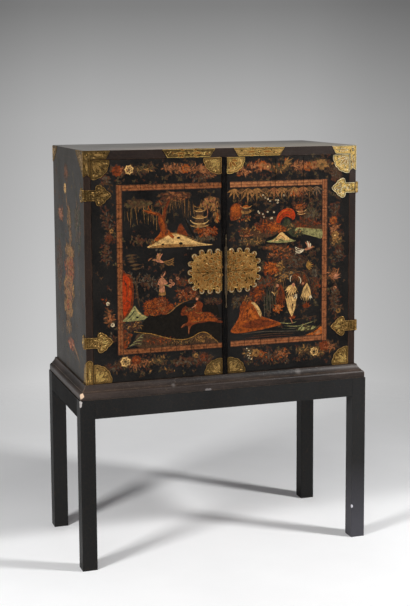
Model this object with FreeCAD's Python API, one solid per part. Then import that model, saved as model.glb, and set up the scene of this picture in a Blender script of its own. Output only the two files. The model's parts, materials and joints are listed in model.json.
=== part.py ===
import FreeCAD, Part
import math
import os

# A two-door lacquered cabinet that stands on a plain open stand.
# Millimetres. +Z is up, the doors face -Y and +X is to the viewer's right.
# The origin is on the floor under the middle of the stand.

os.makedirs("parts", exist_ok=True)
V = FreeCAD.Vector
UP = V(0, 0, 1)

# ---------------------------------------------------------------- driving dimensions

# stand
STAND_HEIGHT = 574.0        # floor to the face that the case stands on
LEG_WIDTH = 50.0
RAIL_HEIGHT = 63.0
RAIL_THICKNESS = 28.0
TENON_LENGTH = 24.0
TENON_THICKNESS = 12.0
TENON_SHOULDER = 8.0        # rail height left above and below a tenon
TENON_OFFSET = 7.0          # rail's outer face to the tenon
BEARER_WIDTH = 32.0
BEARER_HEIGHT = 26.0
OVERHANG = 30.0             # stand beyond the case at the front and the ends
BACK_MARGIN = 2.0           # stand beyond the case at the back

# moulding planted round the foot of the case
MOULDING_HEIGHT = 45.5
MOULDING_PROJECTION = 27.0
MOULDING_FILLET = 7.0       # flat strip at its top edge
MOULDING_COVE_DROP = 17.0
MOULDING_QUIRK = 2.5
MOULDING_OVOLO_DROP = 10.0
MOULDING_OVOLO_DEPTH = 7.0
MOULDING_OVOLO_BOW = 2.2
MOULDING_COVE_BOW = 1.8
MOULDING_ARRIS = 1.0        # small bevel on the top edge
MOULDING_CLEARANCE = 0.3

# case
CASE_WIDTH = 960.0
CASE_DEPTH = 470.0
CASE_HEIGHT = 811.0
SIDE_THICKNESS = 23.0
TOP_THICKNESS = 30.0
FLOOR_THICKNESS = 22.0
FLOOR_LAP = 12.0            # inner floor above the lower edge of the doors
BACK_THICKNESS = 12.0
BACK_LAP = 11.0             # back board into the sides and the top
TONGUE = 8.0                # tongue height and housing depth
TONGUE_THICKNESS = 9.0
TONGUE_SETBACK = 30.0       # housing stops this far from the front
JOINT_CLEARANCE = 0.2
EDGE_ROUNDING = 1.5

# inside
SHELF_COUNT = 2
SHELF_THICKNESS = 16.0
SHELF_SETBACK = 58.0        # case front to shelf front
SHELF_CLEARANCE = 0.5
BATTEN_WIDTH = 15.0
BATTEN_HEIGHT = 18.0
STOP_DEPTH = 20.0
STOP_HEIGHT = 18.0
STOP_CLEARANCE = 0.4

# doors
DOOR_THICKNESS = 20.0
DOOR_CLEARANCE = 1.5
BEAD_WIDTH = 18.0
BEAD_PROUD = 6.0
BEAD_ROUNDING = 5.0
STRIP_WIDTH = 11.0          # its broad middle, beside the lock plates
STRIP_NECK = 5.0            # its slender ends
STRIP_LENGTH = 250.0
STRIP_MIDDLE = 156.0
STRIP_SHOULDER = 9.0
STRIP_KNOB_RADIUS = 4.0     # small disc at its foot
STRIP_THICKNESS = 2.0
STRIP_OFFSET = 3.0          # strip's middle to the bead's middle

# hinges
HINGE_HEIGHT = 35.0
HINGE_PLATE = 2.0
HINGE_OFFSET = 3.0          # pin's axis outside the case corner, both ways
KNUCKLE_RADIUS = 4.0
KNUCKLE_COUNT = 5
KNUCKLE_GAP = 0.3
PIN_RADIUS = 1.8
PIN_CLEARANCE = 0.05
PIN_HEAD_RADIUS = 3.2
PIN_HEAD_HEIGHT = 2.5
STRAP_REACH = 94.0
STRAP_SHANK = 42.0
STRAP_HEAD_HEIGHT = 66.0
LEAF_REACH = 50.0
LEAF_SHANK = 26.0
LEAF_HEAD_HEIGHT = 46.0
SPEAR_BOWS = (2.0, 3.0, 2.5, 2.0)   # swell of each side of a hinge's head, from its shoulder to its tip
HINGE_FROM_TOP = 114.0      # door's top edge to the upper hinge's middle
HINGE_FROM_BOTTOM = 136.0   # door's lower edge to the lower hinge's middle

# engraved brass mounts
MOUNT_PLATE = 1.2
OUTER_MOUNT_REACH = 60.0
OUTER_MOUNT_RISE = 62.0
INNER_MOUNT_REACH = 62.0
INNER_MOUNT_RISE = 54.0
MOUNT_LOBES = 4
MOUNT_LOBE_BOW = 3.5
MOUNT_MARGIN = 1.0          # wood left showing beside a plate on a narrow edge
BAND_MOUNT_TOP = 182.0
BAND_MOUNT_BOTTOM = 147.0
BAND_MOUNT_OFFSET = 124.0   # middle of the cabinet to the middle of each plate
CORNER_MOUNT_REACH = 90.0
CORNER_MOUNT_BEVEL = 15.0
CORNER_MOUNT_DROP = 86.0
CORNER_MOUNT_NICK = 8.0     # notch in the plate's lower end
CORNER_MOUNT_SIDE = 100.0
CORNER_MOUNT_SIDE_DROP = 74.0
FOOT_MOUNT_HEIGHT = 80.0
FOOT_MOUNT_SIDE = 34.0
REAR_MOUNT_SIDE = 72.0
REAR_MOUNT_DROP = 58.0
REAR_MOUNT_BACK = 28.0

# lock plates on the meeting edges
ESCUTCHEON_PLATE = 1.6
ESCUTCHEON_REACH = 112.0    # meeting edge to the middle of the outermost lobes
ESCUTCHEON_HEIGHT = 134.0   # between the middles of the top and bottom lobes
ESCUTCHEON_CORNER = 50.0
ESCUTCHEON_LOBES = 11
LOBE_RADIUS = 9.0
NOTCH_RADIUS = 4.2
LOCK_HEIGHT = 352.0         # door's lower edge to the middle of the lock plates

# lock and its keeper
KEYHOLE_FROM_BEAD = 29.0
KEYHOLE_RISE = 5.0
KEYHOLE_RADIUS = 2.6
KEYHOLE_SLOT_WIDTH = 2.6
KEYHOLE_SLOT_DROP = 11.0
LOCK_WIDTH = 82.0
LOCK_CASE_HEIGHT = 64.0
LOCK_DEPTH = 18.0
LOCK_WALL = 2.0
LOCK_SETBACK = 11.0         # bead's free edge to the lock case
BOLT_DROP = 14.0            # lock's middle to the bolt's middle
BOLT_HEIGHT = 14.0
BOLT_THICKNESS = 8.0
BOLT_LENGTH = 58.0
BOLT_TRAVEL = 24.0
BOLT_PROUD = 1.5            # tip outside the lock case when unlocked
BOLT_CLEARANCE = 0.3
KEEPER_WALL = 3.0
KEEPER_SETBACK = 3.0

# slide bolts that hold the left door
SLIDE_FROM_EDGE = 34.0
SLIDE_WIDTH = 14.0
SLIDE_THICKNESS = 5.0
SLIDE_LENGTH = 104.0
SLIDE_TRAVEL = 13.0
SLIDE_PARKING = 2.0         # gap to the socket when drawn back
SLIDE_KNOB_RADIUS = 5.0
SLIDE_KNOB_HEIGHT = 12.0
SLIDE_CLEARANCE = 0.3
GUIDE_PLATE = 1.5
GUIDE_WIDTH = 32.0
GUIDE_LENGTH = 86.0
GUIDE_STRAP = 10.0
GUIDE_WALL = 2.5

# brass nails
NAIL_RADIUS = 0.9
NAIL_LENGTH = 11.0
NAIL_HEAD_RADIUS = 2.2
NAIL_HEAD_HEIGHT = 0.8
NAIL_CLEARANCE = 0.1

# ---------------------------------------------------------------- shares of a plate's own size

SPEAR_SHARES = ((0.1, 1.0), (0.42, 0.86), (0.66, 0.5))     # along a hinge's head, and of its half height
SPEAR_NAIL_SHARES = ((0.2, -0.36), (0.2, 0.36), (0.7, 0.0))
SHANK_NAIL_SHARES = ((0.8, -0.25), (0.8, 0.25))
QUARTER_NAIL_SHARES = ((0.16, 0.16), (0.74, 0.18), (0.18, 0.74))
BAND_NAIL_SHARES = (-0.4, 0, 0.4)
BAND_NAIL_DROP_SHARE = 0.4
LOCK_NAIL_SHARES = ((0.08, 0.44), (0.5, 0.45), (0.88, 0.3))
CORNER_RIM_SHARES = ((0.12, 1.0), (0.42, 0.62), (0.72, 0.36))
CORNER_FRONT_NAIL_SHARES = (0.7, 0.72)                     # along the top, and down the edge
CORNER_SIDE_NAIL_SHARES = (0.3, 0.8, 0.15, 0.8)            # two along the top; then back and down
REAR_RIM_SHARES = (0.5, 0.6)
REAR_NAIL_SHARES = (0.2, 0.7, 0.15, 0.8)                   # the same, from the back
FOOT_RIM_SHARES = ((1.0, 0.0), (0.75, 0.5))
FOOT_SHOULDER_SHARES = (0.3, 0.86)
FOOT_CROWN_SHARE = 0.94
FOOT_NAIL_SHARES = (0.2, 0.65)

# ---------------------------------------------------------------- derived places

CASE_LEFT, CASE_RIGHT = -CASE_WIDTH / 2, CASE_WIDTH / 2
STAND_RIGHT = CASE_RIGHT + OVERHANG
STAND_DEPTH = OVERHANG + CASE_DEPTH + BACK_MARGIN
STAND_FRONT, STAND_BACK = -STAND_DEPTH / 2, STAND_DEPTH / 2
CASE_FRONT = STAND_FRONT + OVERHANG
CASE_BACK = STAND_BACK - BACK_MARGIN
CASE_BASE = STAND_HEIGHT
CASE_TOP = CASE_BASE + CASE_HEIGHT
TOP_UNDER = CASE_TOP - TOP_THICKNESS
INNER_RIGHT = CASE_RIGHT - SIDE_THICKNESS
MOULDING_TOP = CASE_BASE + MOULDING_HEIGHT

DOOR_BOTTOM = MOULDING_TOP + DOOR_CLEARANCE
DOOR_TOP = TOP_UNDER - DOOR_CLEARANCE
DOOR_EDGE = INNER_RIGHT - DOOR_CLEARANCE        # outer edge of each door
DOOR_BACK = CASE_FRONT + DOOR_THICKNESS
BEAD_LEFT, BEAD_RIGHT = -BEAD_WIDTH / 2, BEAD_WIDTH / 2
LEFT_DOOR_MEETING = BEAD_LEFT - DOOR_CLEARANCE

FLOOR_TOP = DOOR_BOTTOM + FLOOR_LAP
STOP_FRONT = DOOR_BACK + STOP_CLEARANCE
STOP_BOTTOM = TOP_UNDER - STOP_HEIGHT
BACK_FACE = CASE_BACK - BACK_THICKNESS

PIN_X = CASE_RIGHT + HINGE_OFFSET
PIN_Y = CASE_FRONT - HINGE_OFFSET
HINGE_LEVELS = {"top": DOOR_TOP - HINGE_FROM_TOP, "bottom": DOOR_BOTTOM + HINGE_FROM_BOTTOM}

LOCK_Z = DOOR_BOTTOM + LOCK_HEIGHT
KEYHOLE_X = BEAD_RIGHT + KEYHOLE_FROM_BEAD
KEYHOLE_Z = LOCK_Z + KEYHOLE_RISE
BOLT_Z = LOCK_Z - BOLT_DROP
SLIDE_X = LEFT_DOOR_MEETING - SLIDE_FROM_EDGE

parts = {}


# ---------------------------------------------------------------- small helpers

def block(x0, x1, y0, y1, z0, z1):
    """A rectangular solid between two corners."""
    return Part.makeBox(x1 - x0, y1 - y0, z1 - z0, V(x0, y0, z0))


def rod(radius, length, start, direction=UP):
    return Part.makeCylinder(radius, length, start, direction)


def flip_x(shape):
    """The same piece for the other end of the cabinet."""
    return shape.mirror(V(0, 0, 0), V(1, 0, 0))


def flip_y(shape):
    return shape.mirror(V(0, 0, 0), V(0, 1, 0))


def outline(corners):
    """A closed wire through (u, w, bow) corners, counter-clockwise.

    The bow is how far the side that starts there curves outwards.
    """
    edges = []
    for (u1, w1, bow), (u2, w2, _) in zip(corners, corners[1:] + corners[:1]):
        start, end = V(u1, w1, 0), V(u2, w2, 0)
        if bow:
            along = (end - start).normalize()
            middle = (start + end) * 0.5 + V(along.y, -along.x, 0) * bow
            edges.append(Part.Arc(start, middle, end).toShape())
        else:
            edges.append(Part.LineSegment(start, end).toShape())
    return Part.Wire(edges)


def plate(corners, thickness):
    """A flat plate with its back on the u, w plane."""
    return Part.Face(outline(corners)).extrude(UP * thickness)


def on_front(shape, x, z, face=CASE_FRONT):
    """Stand a flat plate against a face that looks towards -Y: u runs to +X and w up."""
    placed = shape.copy()
    placed.Placement = FreeCAD.Placement(V(x, face, z), FreeCAD.Rotation(V(1, 0, 0), 90))
    return placed


def on_right(shape, y, z, face=CASE_RIGHT):
    """Stand a flat plate against a face that looks towards +X: u runs to +Y and w up."""
    placed = shape.copy()
    placed.Placement = FreeCAD.Placement(V(face, y, z), FreeCAD.Rotation(V(1, 1, 1), 120))
    return placed


def joined(*shapes):
    """One clean solid from touching pieces."""
    return shapes[0].multiFuse(list(shapes[1:])).removeSplitter()


def nail(head_face, direction):
    """A round-headed nail whose head sits on a plate's face and points along direction."""
    head = Part.makeCone(NAIL_HEAD_RADIUS, NAIL_HEAD_RADIUS / 2, NAIL_HEAD_HEIGHT, head_face, direction)
    return head.fuse(rod(NAIL_RADIUS, NAIL_LENGTH, head_face, direction * -1)).removeSplitter()


def nail_bore(head_face, direction):
    start = head_face + direction * NAIL_HEAD_HEIGHT
    length = NAIL_LENGTH + NAIL_HEAD_HEIGHT + NAIL_CLEARANCE
    return rod(NAIL_RADIUS + NAIL_CLEARANCE, length, start, direction * -1)


# ---------------------------------------------------------------- stand

def tenon(rail_end, outer_face, along_x):
    """The tenon on a rail's right or back end, and the same with clearance as its mortise."""
    low = STAND_HEIGHT - RAIL_HEIGHT + TENON_SHOULDER
    high = STAND_HEIGHT - TENON_SHOULDER
    solids = []
    for gap in (0, JOINT_CLEARANCE):
        near = outer_face + TENON_OFFSET - gap
        far = near + TENON_THICKNESS + 2 * gap
        end = rail_end + TENON_LENGTH + gap
        if along_x:
            solids.append(block(rail_end, end, near, far, low - gap, high + gap))
        else:
            solids.append(block(near, far, rail_end, end, low - gap, high + gap))
    return solids


def build_stand():
    """Four square legs, four tenoned rails flush with them, and two bearers for the case."""
    inner_x, inner_y = STAND_RIGHT - LEG_WIDTH, STAND_BACK - LEG_WIDTH
    low = STAND_HEIGHT - RAIL_HEIGHT
    front_tenon, front_mortise = tenon(inner_x, STAND_FRONT, True)
    side_tenon, side_mortise = tenon(inner_y, -STAND_RIGHT, False)
    # where the two tenons would meet inside a leg, the side one gives way
    side_tenon = side_tenon.cut(flip_y(flip_x(front_mortise)))

    front_rail = block(-inner_x, inner_x, STAND_FRONT, STAND_FRONT + RAIL_THICKNESS, low, STAND_HEIGHT)
    front_rail = joined(front_rail, front_tenon, flip_x(front_tenon))
    left_rail = block(-STAND_RIGHT, -STAND_RIGHT + RAIL_THICKNESS, -inner_y, inner_y, low, STAND_HEIGHT)
    left_rail = joined(left_rail, side_tenon, flip_y(side_tenon))
    parts["rail_front"] = front_rail
    parts["rail_back"] = flip_y(front_rail)
    parts["rail_left"] = left_rail
    parts["rail_right"] = flip_x(left_rail)

    leg = block(-STAND_RIGHT, -inner_x, inner_y, STAND_BACK, 0, STAND_HEIGHT)
    leg = leg.makeChamfer(EDGE_ROUNDING / 2, [edge for edge in leg.Edges if abs(edge.tangentAt(0).z) > 0.9])
    leg = leg.cut(flip_y(flip_x(front_mortise))).cut(side_mortise)
    parts["leg_back_left"] = leg
    parts["leg_back_right"] = flip_x(leg)
    parts["leg_front_left"] = flip_y(leg)
    parts["leg_front_right"] = flip_x(flip_y(leg))

    bearer_x = -STAND_RIGHT + RAIL_THICKNESS
    bearer = block(
        bearer_x, bearer_x + BEARER_WIDTH, -inner_y, inner_y, STAND_HEIGHT - BEARER_HEIGHT, STAND_HEIGHT)
    parts["bearers"] = Part.makeCompound([bearer, flip_x(bearer)])


def moulding_profile():
    """Cross-section as (distance out, height) corners: fillet, cove, quirk, ovolo and a plain foot."""
    top = MOULDING_HEIGHT
    cove_foot = MOULDING_PROJECTION - MOULDING_OVOLO_DEPTH - MOULDING_QUIRK / 2
    cove_level = top - MOULDING_ARRIS - MOULDING_COVE_DROP
    ovolo_top = cove_level - MOULDING_QUIRK
    return [
        (MOULDING_CLEARANCE, 0, 0),
        (MOULDING_PROJECTION, 0, 0),
        (MOULDING_PROJECTION, ovolo_top - MOULDING_OVOLO_DROP, MOULDING_OVOLO_BOW),
        (MOULDING_PROJECTION - MOULDING_OVOLO_DEPTH, ovolo_top, 0),
        (cove_foot, ovolo_top, 0),
        (cove_foot, cove_level, -MOULDING_COVE_BOW),
        (MOULDING_FILLET, top - MOULDING_ARRIS, 0),
        (MOULDING_FILLET - MOULDING_ARRIS, top, 0),
        (MOULDING_CLEARANCE, top, 0),
    ]


def build_moulding():
    """Three lengths planted on the stand round the foot of the case, mitred at the front corners."""
    section = Part.Face(outline(moulding_profile()))
    reach = STAND_RIGHT * 2

    # the end length runs along Y on the right, from the back towards the front
    side = section.copy()
    side.Placement = FreeCAD.Placement(V(CASE_RIGHT, CASE_BACK, CASE_BASE), FreeCAD.Rotation(V(1, 0, 0), 90))
    side = side.extrude(V(0, STAND_FRONT - CASE_BACK, 0))
    # the front length runs along X
    front = section.copy()
    turn = FreeCAD.Rotation(V(0, 0, 1), -90).multiply(FreeCAD.Rotation(V(1, 0, 0), 90))
    front.Placement = FreeCAD.Placement(V(-STAND_RIGHT, CASE_FRONT, CASE_BASE), turn)
    front = front.extrude(V(STAND_RIGHT * 2, 0, 0))

    # a mitre plane through each front corner of the case
    wedge = Part.Face(outline([(0, 0, 0), (reach, -reach, 0), (reach, 0, 0)])).extrude(UP * MOULDING_TOP)
    wedge.translate(V(CASE_RIGHT, CASE_FRONT, 0))
    parts["moulding_front"] = front.cut(wedge).cut(flip_x(wedge))
    corner = Part.Face(outline([(0, 0, 0), (-reach, 0, 0), (-reach, -reach, 0), (reach, -reach, 0)]))
    corner = corner.extrude(UP * MOULDING_TOP)
    corner.translate(V(CASE_RIGHT, CASE_FRONT, 0))
    side = side.cut(corner)
    parts["moulding_right"] = side
    parts["moulding_left"] = flip_x(side)


# ---------------------------------------------------------------- case

def build_case():
    """Sides tongued into the top, a housed floor, a rebated back and a rail below the doors."""
    groove_front = CASE_FRONT + TONGUE_SETBACK
    middle = CASE_RIGHT - SIDE_THICKNESS / 2
    half = TONGUE_THICKNESS / 2

    side = block(INNER_RIGHT, CASE_RIGHT, CASE_FRONT, CASE_BACK, CASE_BASE, TOP_UNDER)
    tongue_back = BACK_FACE - TONGUE
    tongue = block(middle - half, middle + half, groove_front, tongue_back, TOP_UNDER, TOP_UNDER + TONGUE)
    side = side.fuse(tongue).removeSplitter()
    rebate = block(INNER_RIGHT, INNER_RIGHT + BACK_LAP, BACK_FACE, CASE_BACK, CASE_BASE, TOP_UNDER)
    housing_low = FLOOR_TOP - (FLOOR_THICKNESS + TONGUE_THICKNESS) / 2
    gap = JOINT_CLEARANCE
    housing = block(
        INNER_RIGHT, INNER_RIGHT + TONGUE + gap, groove_front - gap, BACK_FACE,
        housing_low - gap, housing_low + TONGUE_THICKNESS + gap)
    side = side.cut(rebate).cut(housing)
    parts["case_side_right"] = side
    parts["case_side_left"] = flip_x(side)

    top = block(CASE_LEFT, CASE_RIGHT, CASE_FRONT, CASE_BACK, TOP_UNDER, CASE_TOP)
    rims = [edge for edge in top.Edges if edge.BoundBox.ZMin > CASE_TOP - EDGE_ROUNDING]
    top = top.makeFillet(EDGE_ROUNDING, rims)
    groove = block(
        middle - half - gap, middle + half + gap, groove_front - gap, tongue_back + gap,
        TOP_UNDER, TOP_UNDER + TONGUE + gap)
    lap = INNER_RIGHT + BACK_LAP
    rear = block(-lap, lap, BACK_FACE, CASE_BACK, TOP_UNDER, TOP_UNDER + BACK_LAP)
    parts["case_top"] = top.cut(groove).cut(flip_x(groove)).cut(rear)

    floor = block(-INNER_RIGHT, INNER_RIGHT, STOP_FRONT, BACK_FACE, FLOOR_TOP - FLOOR_THICKNESS, FLOOR_TOP)
    housing_high = housing_low + TONGUE_THICKNESS
    lip = block(INNER_RIGHT, INNER_RIGHT + TONGUE, groove_front, BACK_FACE, housing_low, housing_high)
    parts["case_floor"] = joined(floor, lip, flip_x(lip))

    edge = lap - gap
    parts["case_back"] = block(-edge, edge, BACK_FACE, CASE_BACK, CASE_BASE, TOP_UNDER + BACK_LAP - gap)
    parts["base_rail"] = block(-INNER_RIGHT, INNER_RIGHT, CASE_FRONT, DOOR_BACK, CASE_BASE, MOULDING_TOP)
    parts["door_stop"] = block(
        -INNER_RIGHT, INNER_RIGHT, STOP_FRONT, STOP_FRONT + STOP_DEPTH, STOP_BOTTOM, TOP_UNDER)


def build_shelves():
    """Loose shelves that rest on a batten at each end."""
    pitch = (TOP_UNDER - FLOOR_TOP + SHELF_THICKNESS) / (SHELF_COUNT + 1)
    front = CASE_FRONT + SHELF_SETBACK
    battens = []
    for number in range(1, SHELF_COUNT + 1):
        level = FLOOR_TOP + pitch * number - SHELF_THICKNESS
        edge = INNER_RIGHT - SHELF_CLEARANCE
        parts[f"shelf_{number}"] = block(
            -edge, edge, front, BACK_FACE - SHELF_CLEARANCE, level, level + SHELF_THICKNESS)
        foot = level - BATTEN_HEIGHT
        batten = block(INNER_RIGHT - BATTEN_WIDTH, INNER_RIGHT, front, BACK_FACE, foot, level)
        battens += [batten, flip_x(batten)]
    parts["shelf_battens"] = Part.makeCompound(battens)


# ---------------------------------------------------------------- doors and their meeting bead

def bead_section(width, proud, rounding, back):
    """Cross-section of the meeting bead, with the given face behind it."""
    half = width / 2
    bow = rounding * (1 - math.sqrt(0.5))
    return [
        (-half, back, 0),
        (-half, -proud + rounding, -bow),
        (-half + rounding, -proud, 0),
        (half - rounding, -proud, -bow),
        (half, -proud + rounding, 0),
        (half, back, 0),
    ]


def upright(corners, z0, z1):
    """A solid of constant plan between two levels; the plan is measured from the case's front face."""
    solid = Part.Face(outline(corners)).extrude(UP * (z1 - z0))
    solid.translate(V(0, CASE_FRONT, z0))
    return solid


def build_doors():
    """Two boards; the right one carries the bead that closes the joint between them."""
    parts["door_left"] = block(-DOOR_EDGE, LEFT_DOOR_MEETING, CASE_FRONT, DOOR_BACK, DOOR_BOTTOM, DOOR_TOP)
    parts["door_right"] = block(BEAD_RIGHT, DOOR_EDGE, CASE_FRONT, DOOR_BACK, DOOR_BOTTOM, DOOR_TOP)
    section = bead_section(BEAD_WIDTH, BEAD_PROUD, BEAD_ROUNDING, DOOR_THICKNESS)
    bead = upright(section, DOOR_BOTTOM, DOOR_TOP)
    parts["meeting_bead"] = bead

    # the brass strip is a shell over the crown of the bead: broad in the middle, slender at both ends
    grown = bead_section(
        BEAD_WIDTH + 2 * STRIP_THICKNESS, BEAD_PROUD + STRIP_THICKNESS, BEAD_ROUNDING + STRIP_THICKNESS, 0)
    turns = [
        (0, STRIP_LENGTH / 2),
        (-STRIP_NECK / 2, STRIP_LENGTH / 2 - STRIP_NECK),
        (-STRIP_NECK / 2, STRIP_MIDDLE / 2 + STRIP_SHOULDER),
        (-STRIP_WIDTH / 2, STRIP_MIDDLE / 2),
    ]
    left_side = turns + [(u, -w) for u, w in turns[:0:-1]]
    right_side = [(-u, -w) for u, w in left_side]
    face = [(u, w, 0) for u, w in left_side + right_side]
    depth = BEAD_PROUD + 2 * STRIP_THICKNESS
    knob = rod(STRIP_KNOB_RADIUS, depth, V(0, STRIP_KNOB_RADIUS - STRIP_LENGTH / 2, 0))
    shape = on_front(joined(plate(face, depth), knob), STRIP_OFFSET, LOCK_Z)
    shell = upright(grown, LOCK_Z - STRIP_LENGTH / 2, LOCK_Z + STRIP_LENGTH / 2).cut(bead)
    parts["closing_strip"] = shell.common(shape)


# ---------------------------------------------------------------- hinges

def knuckles(level, first, radius, margin):
    """Every second knuckle of a hinge, from the given one, as solid rods round the pin's axis."""
    pitch = HINGE_HEIGHT / KNUCKLE_COUNT
    base = level - HINGE_HEIGHT / 2
    rods = []
    for number in range(first, KNUCKLE_COUNT, 2):
        start = base + pitch * number + margin
        rods.append(rod(radius, pitch - 2 * margin, V(PIN_X, PIN_Y, start)))
    return rods


def hinge_plate(corners, placed, level, own):
    """A plate that carries its own knuckles and stands clear of the other half's."""
    body = placed(plate(corners, HINGE_PLATE))
    half_gap = KNUCKLE_GAP / 2
    for clear in knuckles(level, 1 - own, KNUCKLE_RADIUS + KNUCKLE_GAP, -half_gap):
        body = body.cut(clear)
    body = joined(body, *knuckles(level, own, KNUCKLE_RADIUS, half_gap))
    bore = rod(PIN_RADIUS + PIN_CLEARANCE, 2 * HINGE_HEIGHT, V(PIN_X, PIN_Y, level - HINGE_HEIGHT))
    return body.cut(bore)


def spearhead(reach, shank, head_height):
    """A strap with a straight shank and a lobed, pointed head, from the pin's axis outwards."""
    half = HINGE_HEIGHT / 2
    turns = [(shank, half)]
    for along, across in SPEAR_SHARES:
        turns.append((shank + (reach - shank) * along, head_height / 2 * across))
    lower = [(u, -w, bow) for (u, w), bow in zip(turns, SPEAR_BOWS)]
    upper = [(u, w, bow) for (u, w), bow in zip(turns[::-1], SPEAR_BOWS[-2::-1] + (0,))]
    return [(0, -half, 0)] + lower + [(reach, 0, SPEAR_BOWS[-1])] + upper + [(0, half, 0)]


def hinge_nails(level, head_height, shank, reach):
    """Nail places as (distance from the pin's axis, height): two in the shank, three in the head."""
    head = reach - shank
    in_shank = [(shank * along, level + HINGE_HEIGHT * across) for along, across in SHANK_NAIL_SHARES]
    in_head = [(shank + head * along, level + head_height * across) for along, across in SPEAR_NAIL_SHARES]
    return in_shank + in_head


def build_hinges():
    """Two strap hinges a side: a leaf nailed to the case's end, a strap across the door and a pin."""
    leaf = spearhead(LEAF_REACH, LEAF_SHANK, LEAF_HEAD_HEIGHT)
    strap = spearhead(STRAP_REACH, STRAP_SHANK, STRAP_HEAD_HEIGHT)
    pins = []
    for name, level in HINGE_LEVELS.items():
        case_leaf = hinge_plate(leaf, lambda flat: on_right(flat, PIN_Y, level), level, 0)
        flat_strap = hinge_plate(
            strap, lambda flat: flip_x(on_front(flat, -PIN_X, level)), level, 1)
        parts[f"hinge_leaf_{name}_right"] = case_leaf
        parts[f"hinge_leaf_{name}_left"] = flip_x(case_leaf)
        parts[f"hinge_strap_{name}_right"] = flat_strap
        parts[f"hinge_strap_{name}_left"] = flip_x(flat_strap)
        stem = rod(PIN_RADIUS, HINGE_HEIGHT, V(PIN_X, PIN_Y, level - HINGE_HEIGHT / 2))
        head = rod(PIN_HEAD_RADIUS, PIN_HEAD_HEIGHT, V(PIN_X, PIN_Y, level + HINGE_HEIGHT / 2))
        pin = stem.fuse(head).removeSplitter()
        pins += [pin, flip_x(pin)]

        side_face = CASE_RIGHT + HINGE_PLATE
        for reach, height in hinge_nails(level, LEAF_HEAD_HEIGHT, LEAF_SHANK, LEAF_REACH):
            place = V(side_face, PIN_Y + reach, height)
            drive_case_nails(place, V(1, 0, 0), f"hinge_leaf_{name}", "case_side")
        front_face = CASE_FRONT - HINGE_PLATE
        for reach, height in hinge_nails(level, STRAP_HEAD_HEIGHT, STRAP_SHANK, STRAP_REACH):
            for side, sign in (("left", -1), ("right", 1)):
                place = V(sign * (PIN_X - reach), front_face, height)
                drive(place, V(0, -1, 0), f"door_{side}", [f"hinge_strap_{name}_{side}", f"door_{side}"])
    parts["hinge_pins"] = Part.makeCompound(pins)


# ---------------------------------------------------------------- nails

nails = {"case": [], "door_left": [], "door_right": []}


def drive(place, direction, group, through):
    """Add one nail to a group and bore it through the named pieces."""
    bore = nail_bore(place, direction)
    for name in through:
        parts[name] = parts[name].cut(bore)
    nails[group].append(nail(place, direction))


def drive_case_nails(place, direction, plate_name, board_name):
    """The same nail at both ends of the case."""
    mirrored = V(-place.x, place.y, place.z), V(-direction.x, direction.y, direction.z)
    drive(place, direction, "case", [f"{plate_name}_right", f"{board_name}_right"])
    drive(*mirrored, "case", [f"{plate_name}_left", f"{board_name}_left"])


# ---------------------------------------------------------------- engraved mounts

def quarter(reach, rise):
    """A corner plate in the first quadrant whose free edge is a row of lobes."""
    rim = []
    for number in range(MOUNT_LOBES + 1):
        angle = math.radians(90 * number / MOUNT_LOBES)
        bow = MOUNT_LOBE_BOW if number < MOUNT_LOBES else 0
        rim.append((reach * math.cos(angle) ** 0.9, rise * math.sin(angle) ** 0.9, bow))
    return plate([(0, 0, 0)] + rim, MOUNT_PLATE)


def build_door_mounts():
    """A lobed plate in each corner of each door."""
    outward = V(0, -1, 0)
    face = CASE_FRONT - MOUNT_PLATE
    for side, sign in (("left", -1), ("right", 1)):
        meeting = LEFT_DOOR_MEETING if side == "left" else BEAD_RIGHT
        places = {
            "outer": (sign * DOOR_EDGE, -sign, OUTER_MOUNT_REACH, OUTER_MOUNT_RISE),
            "inner": (meeting, sign, INNER_MOUNT_REACH, INNER_MOUNT_RISE),
        }
        for column, (edge, run, reach, rise) in places.items():
            for row, corner, lift in (("top", DOOR_TOP, -1), ("bottom", DOOR_BOTTOM, 1)):
                flat = quarter(reach, rise)
                if run < 0:
                    flat = flip_x(flat)
                if lift < 0:
                    flat = flip_y(flat)
                name = f"mount_{side}_{row}_{column}"
                parts[name] = on_front(flat, edge, corner)
                for u, w in QUARTER_NAIL_SHARES:
                    place = V(edge + run * reach * u, face, corner + lift * rise * w)
                    drive(place, outward, f"door_{side}", [name, f"door_{side}"])


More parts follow.
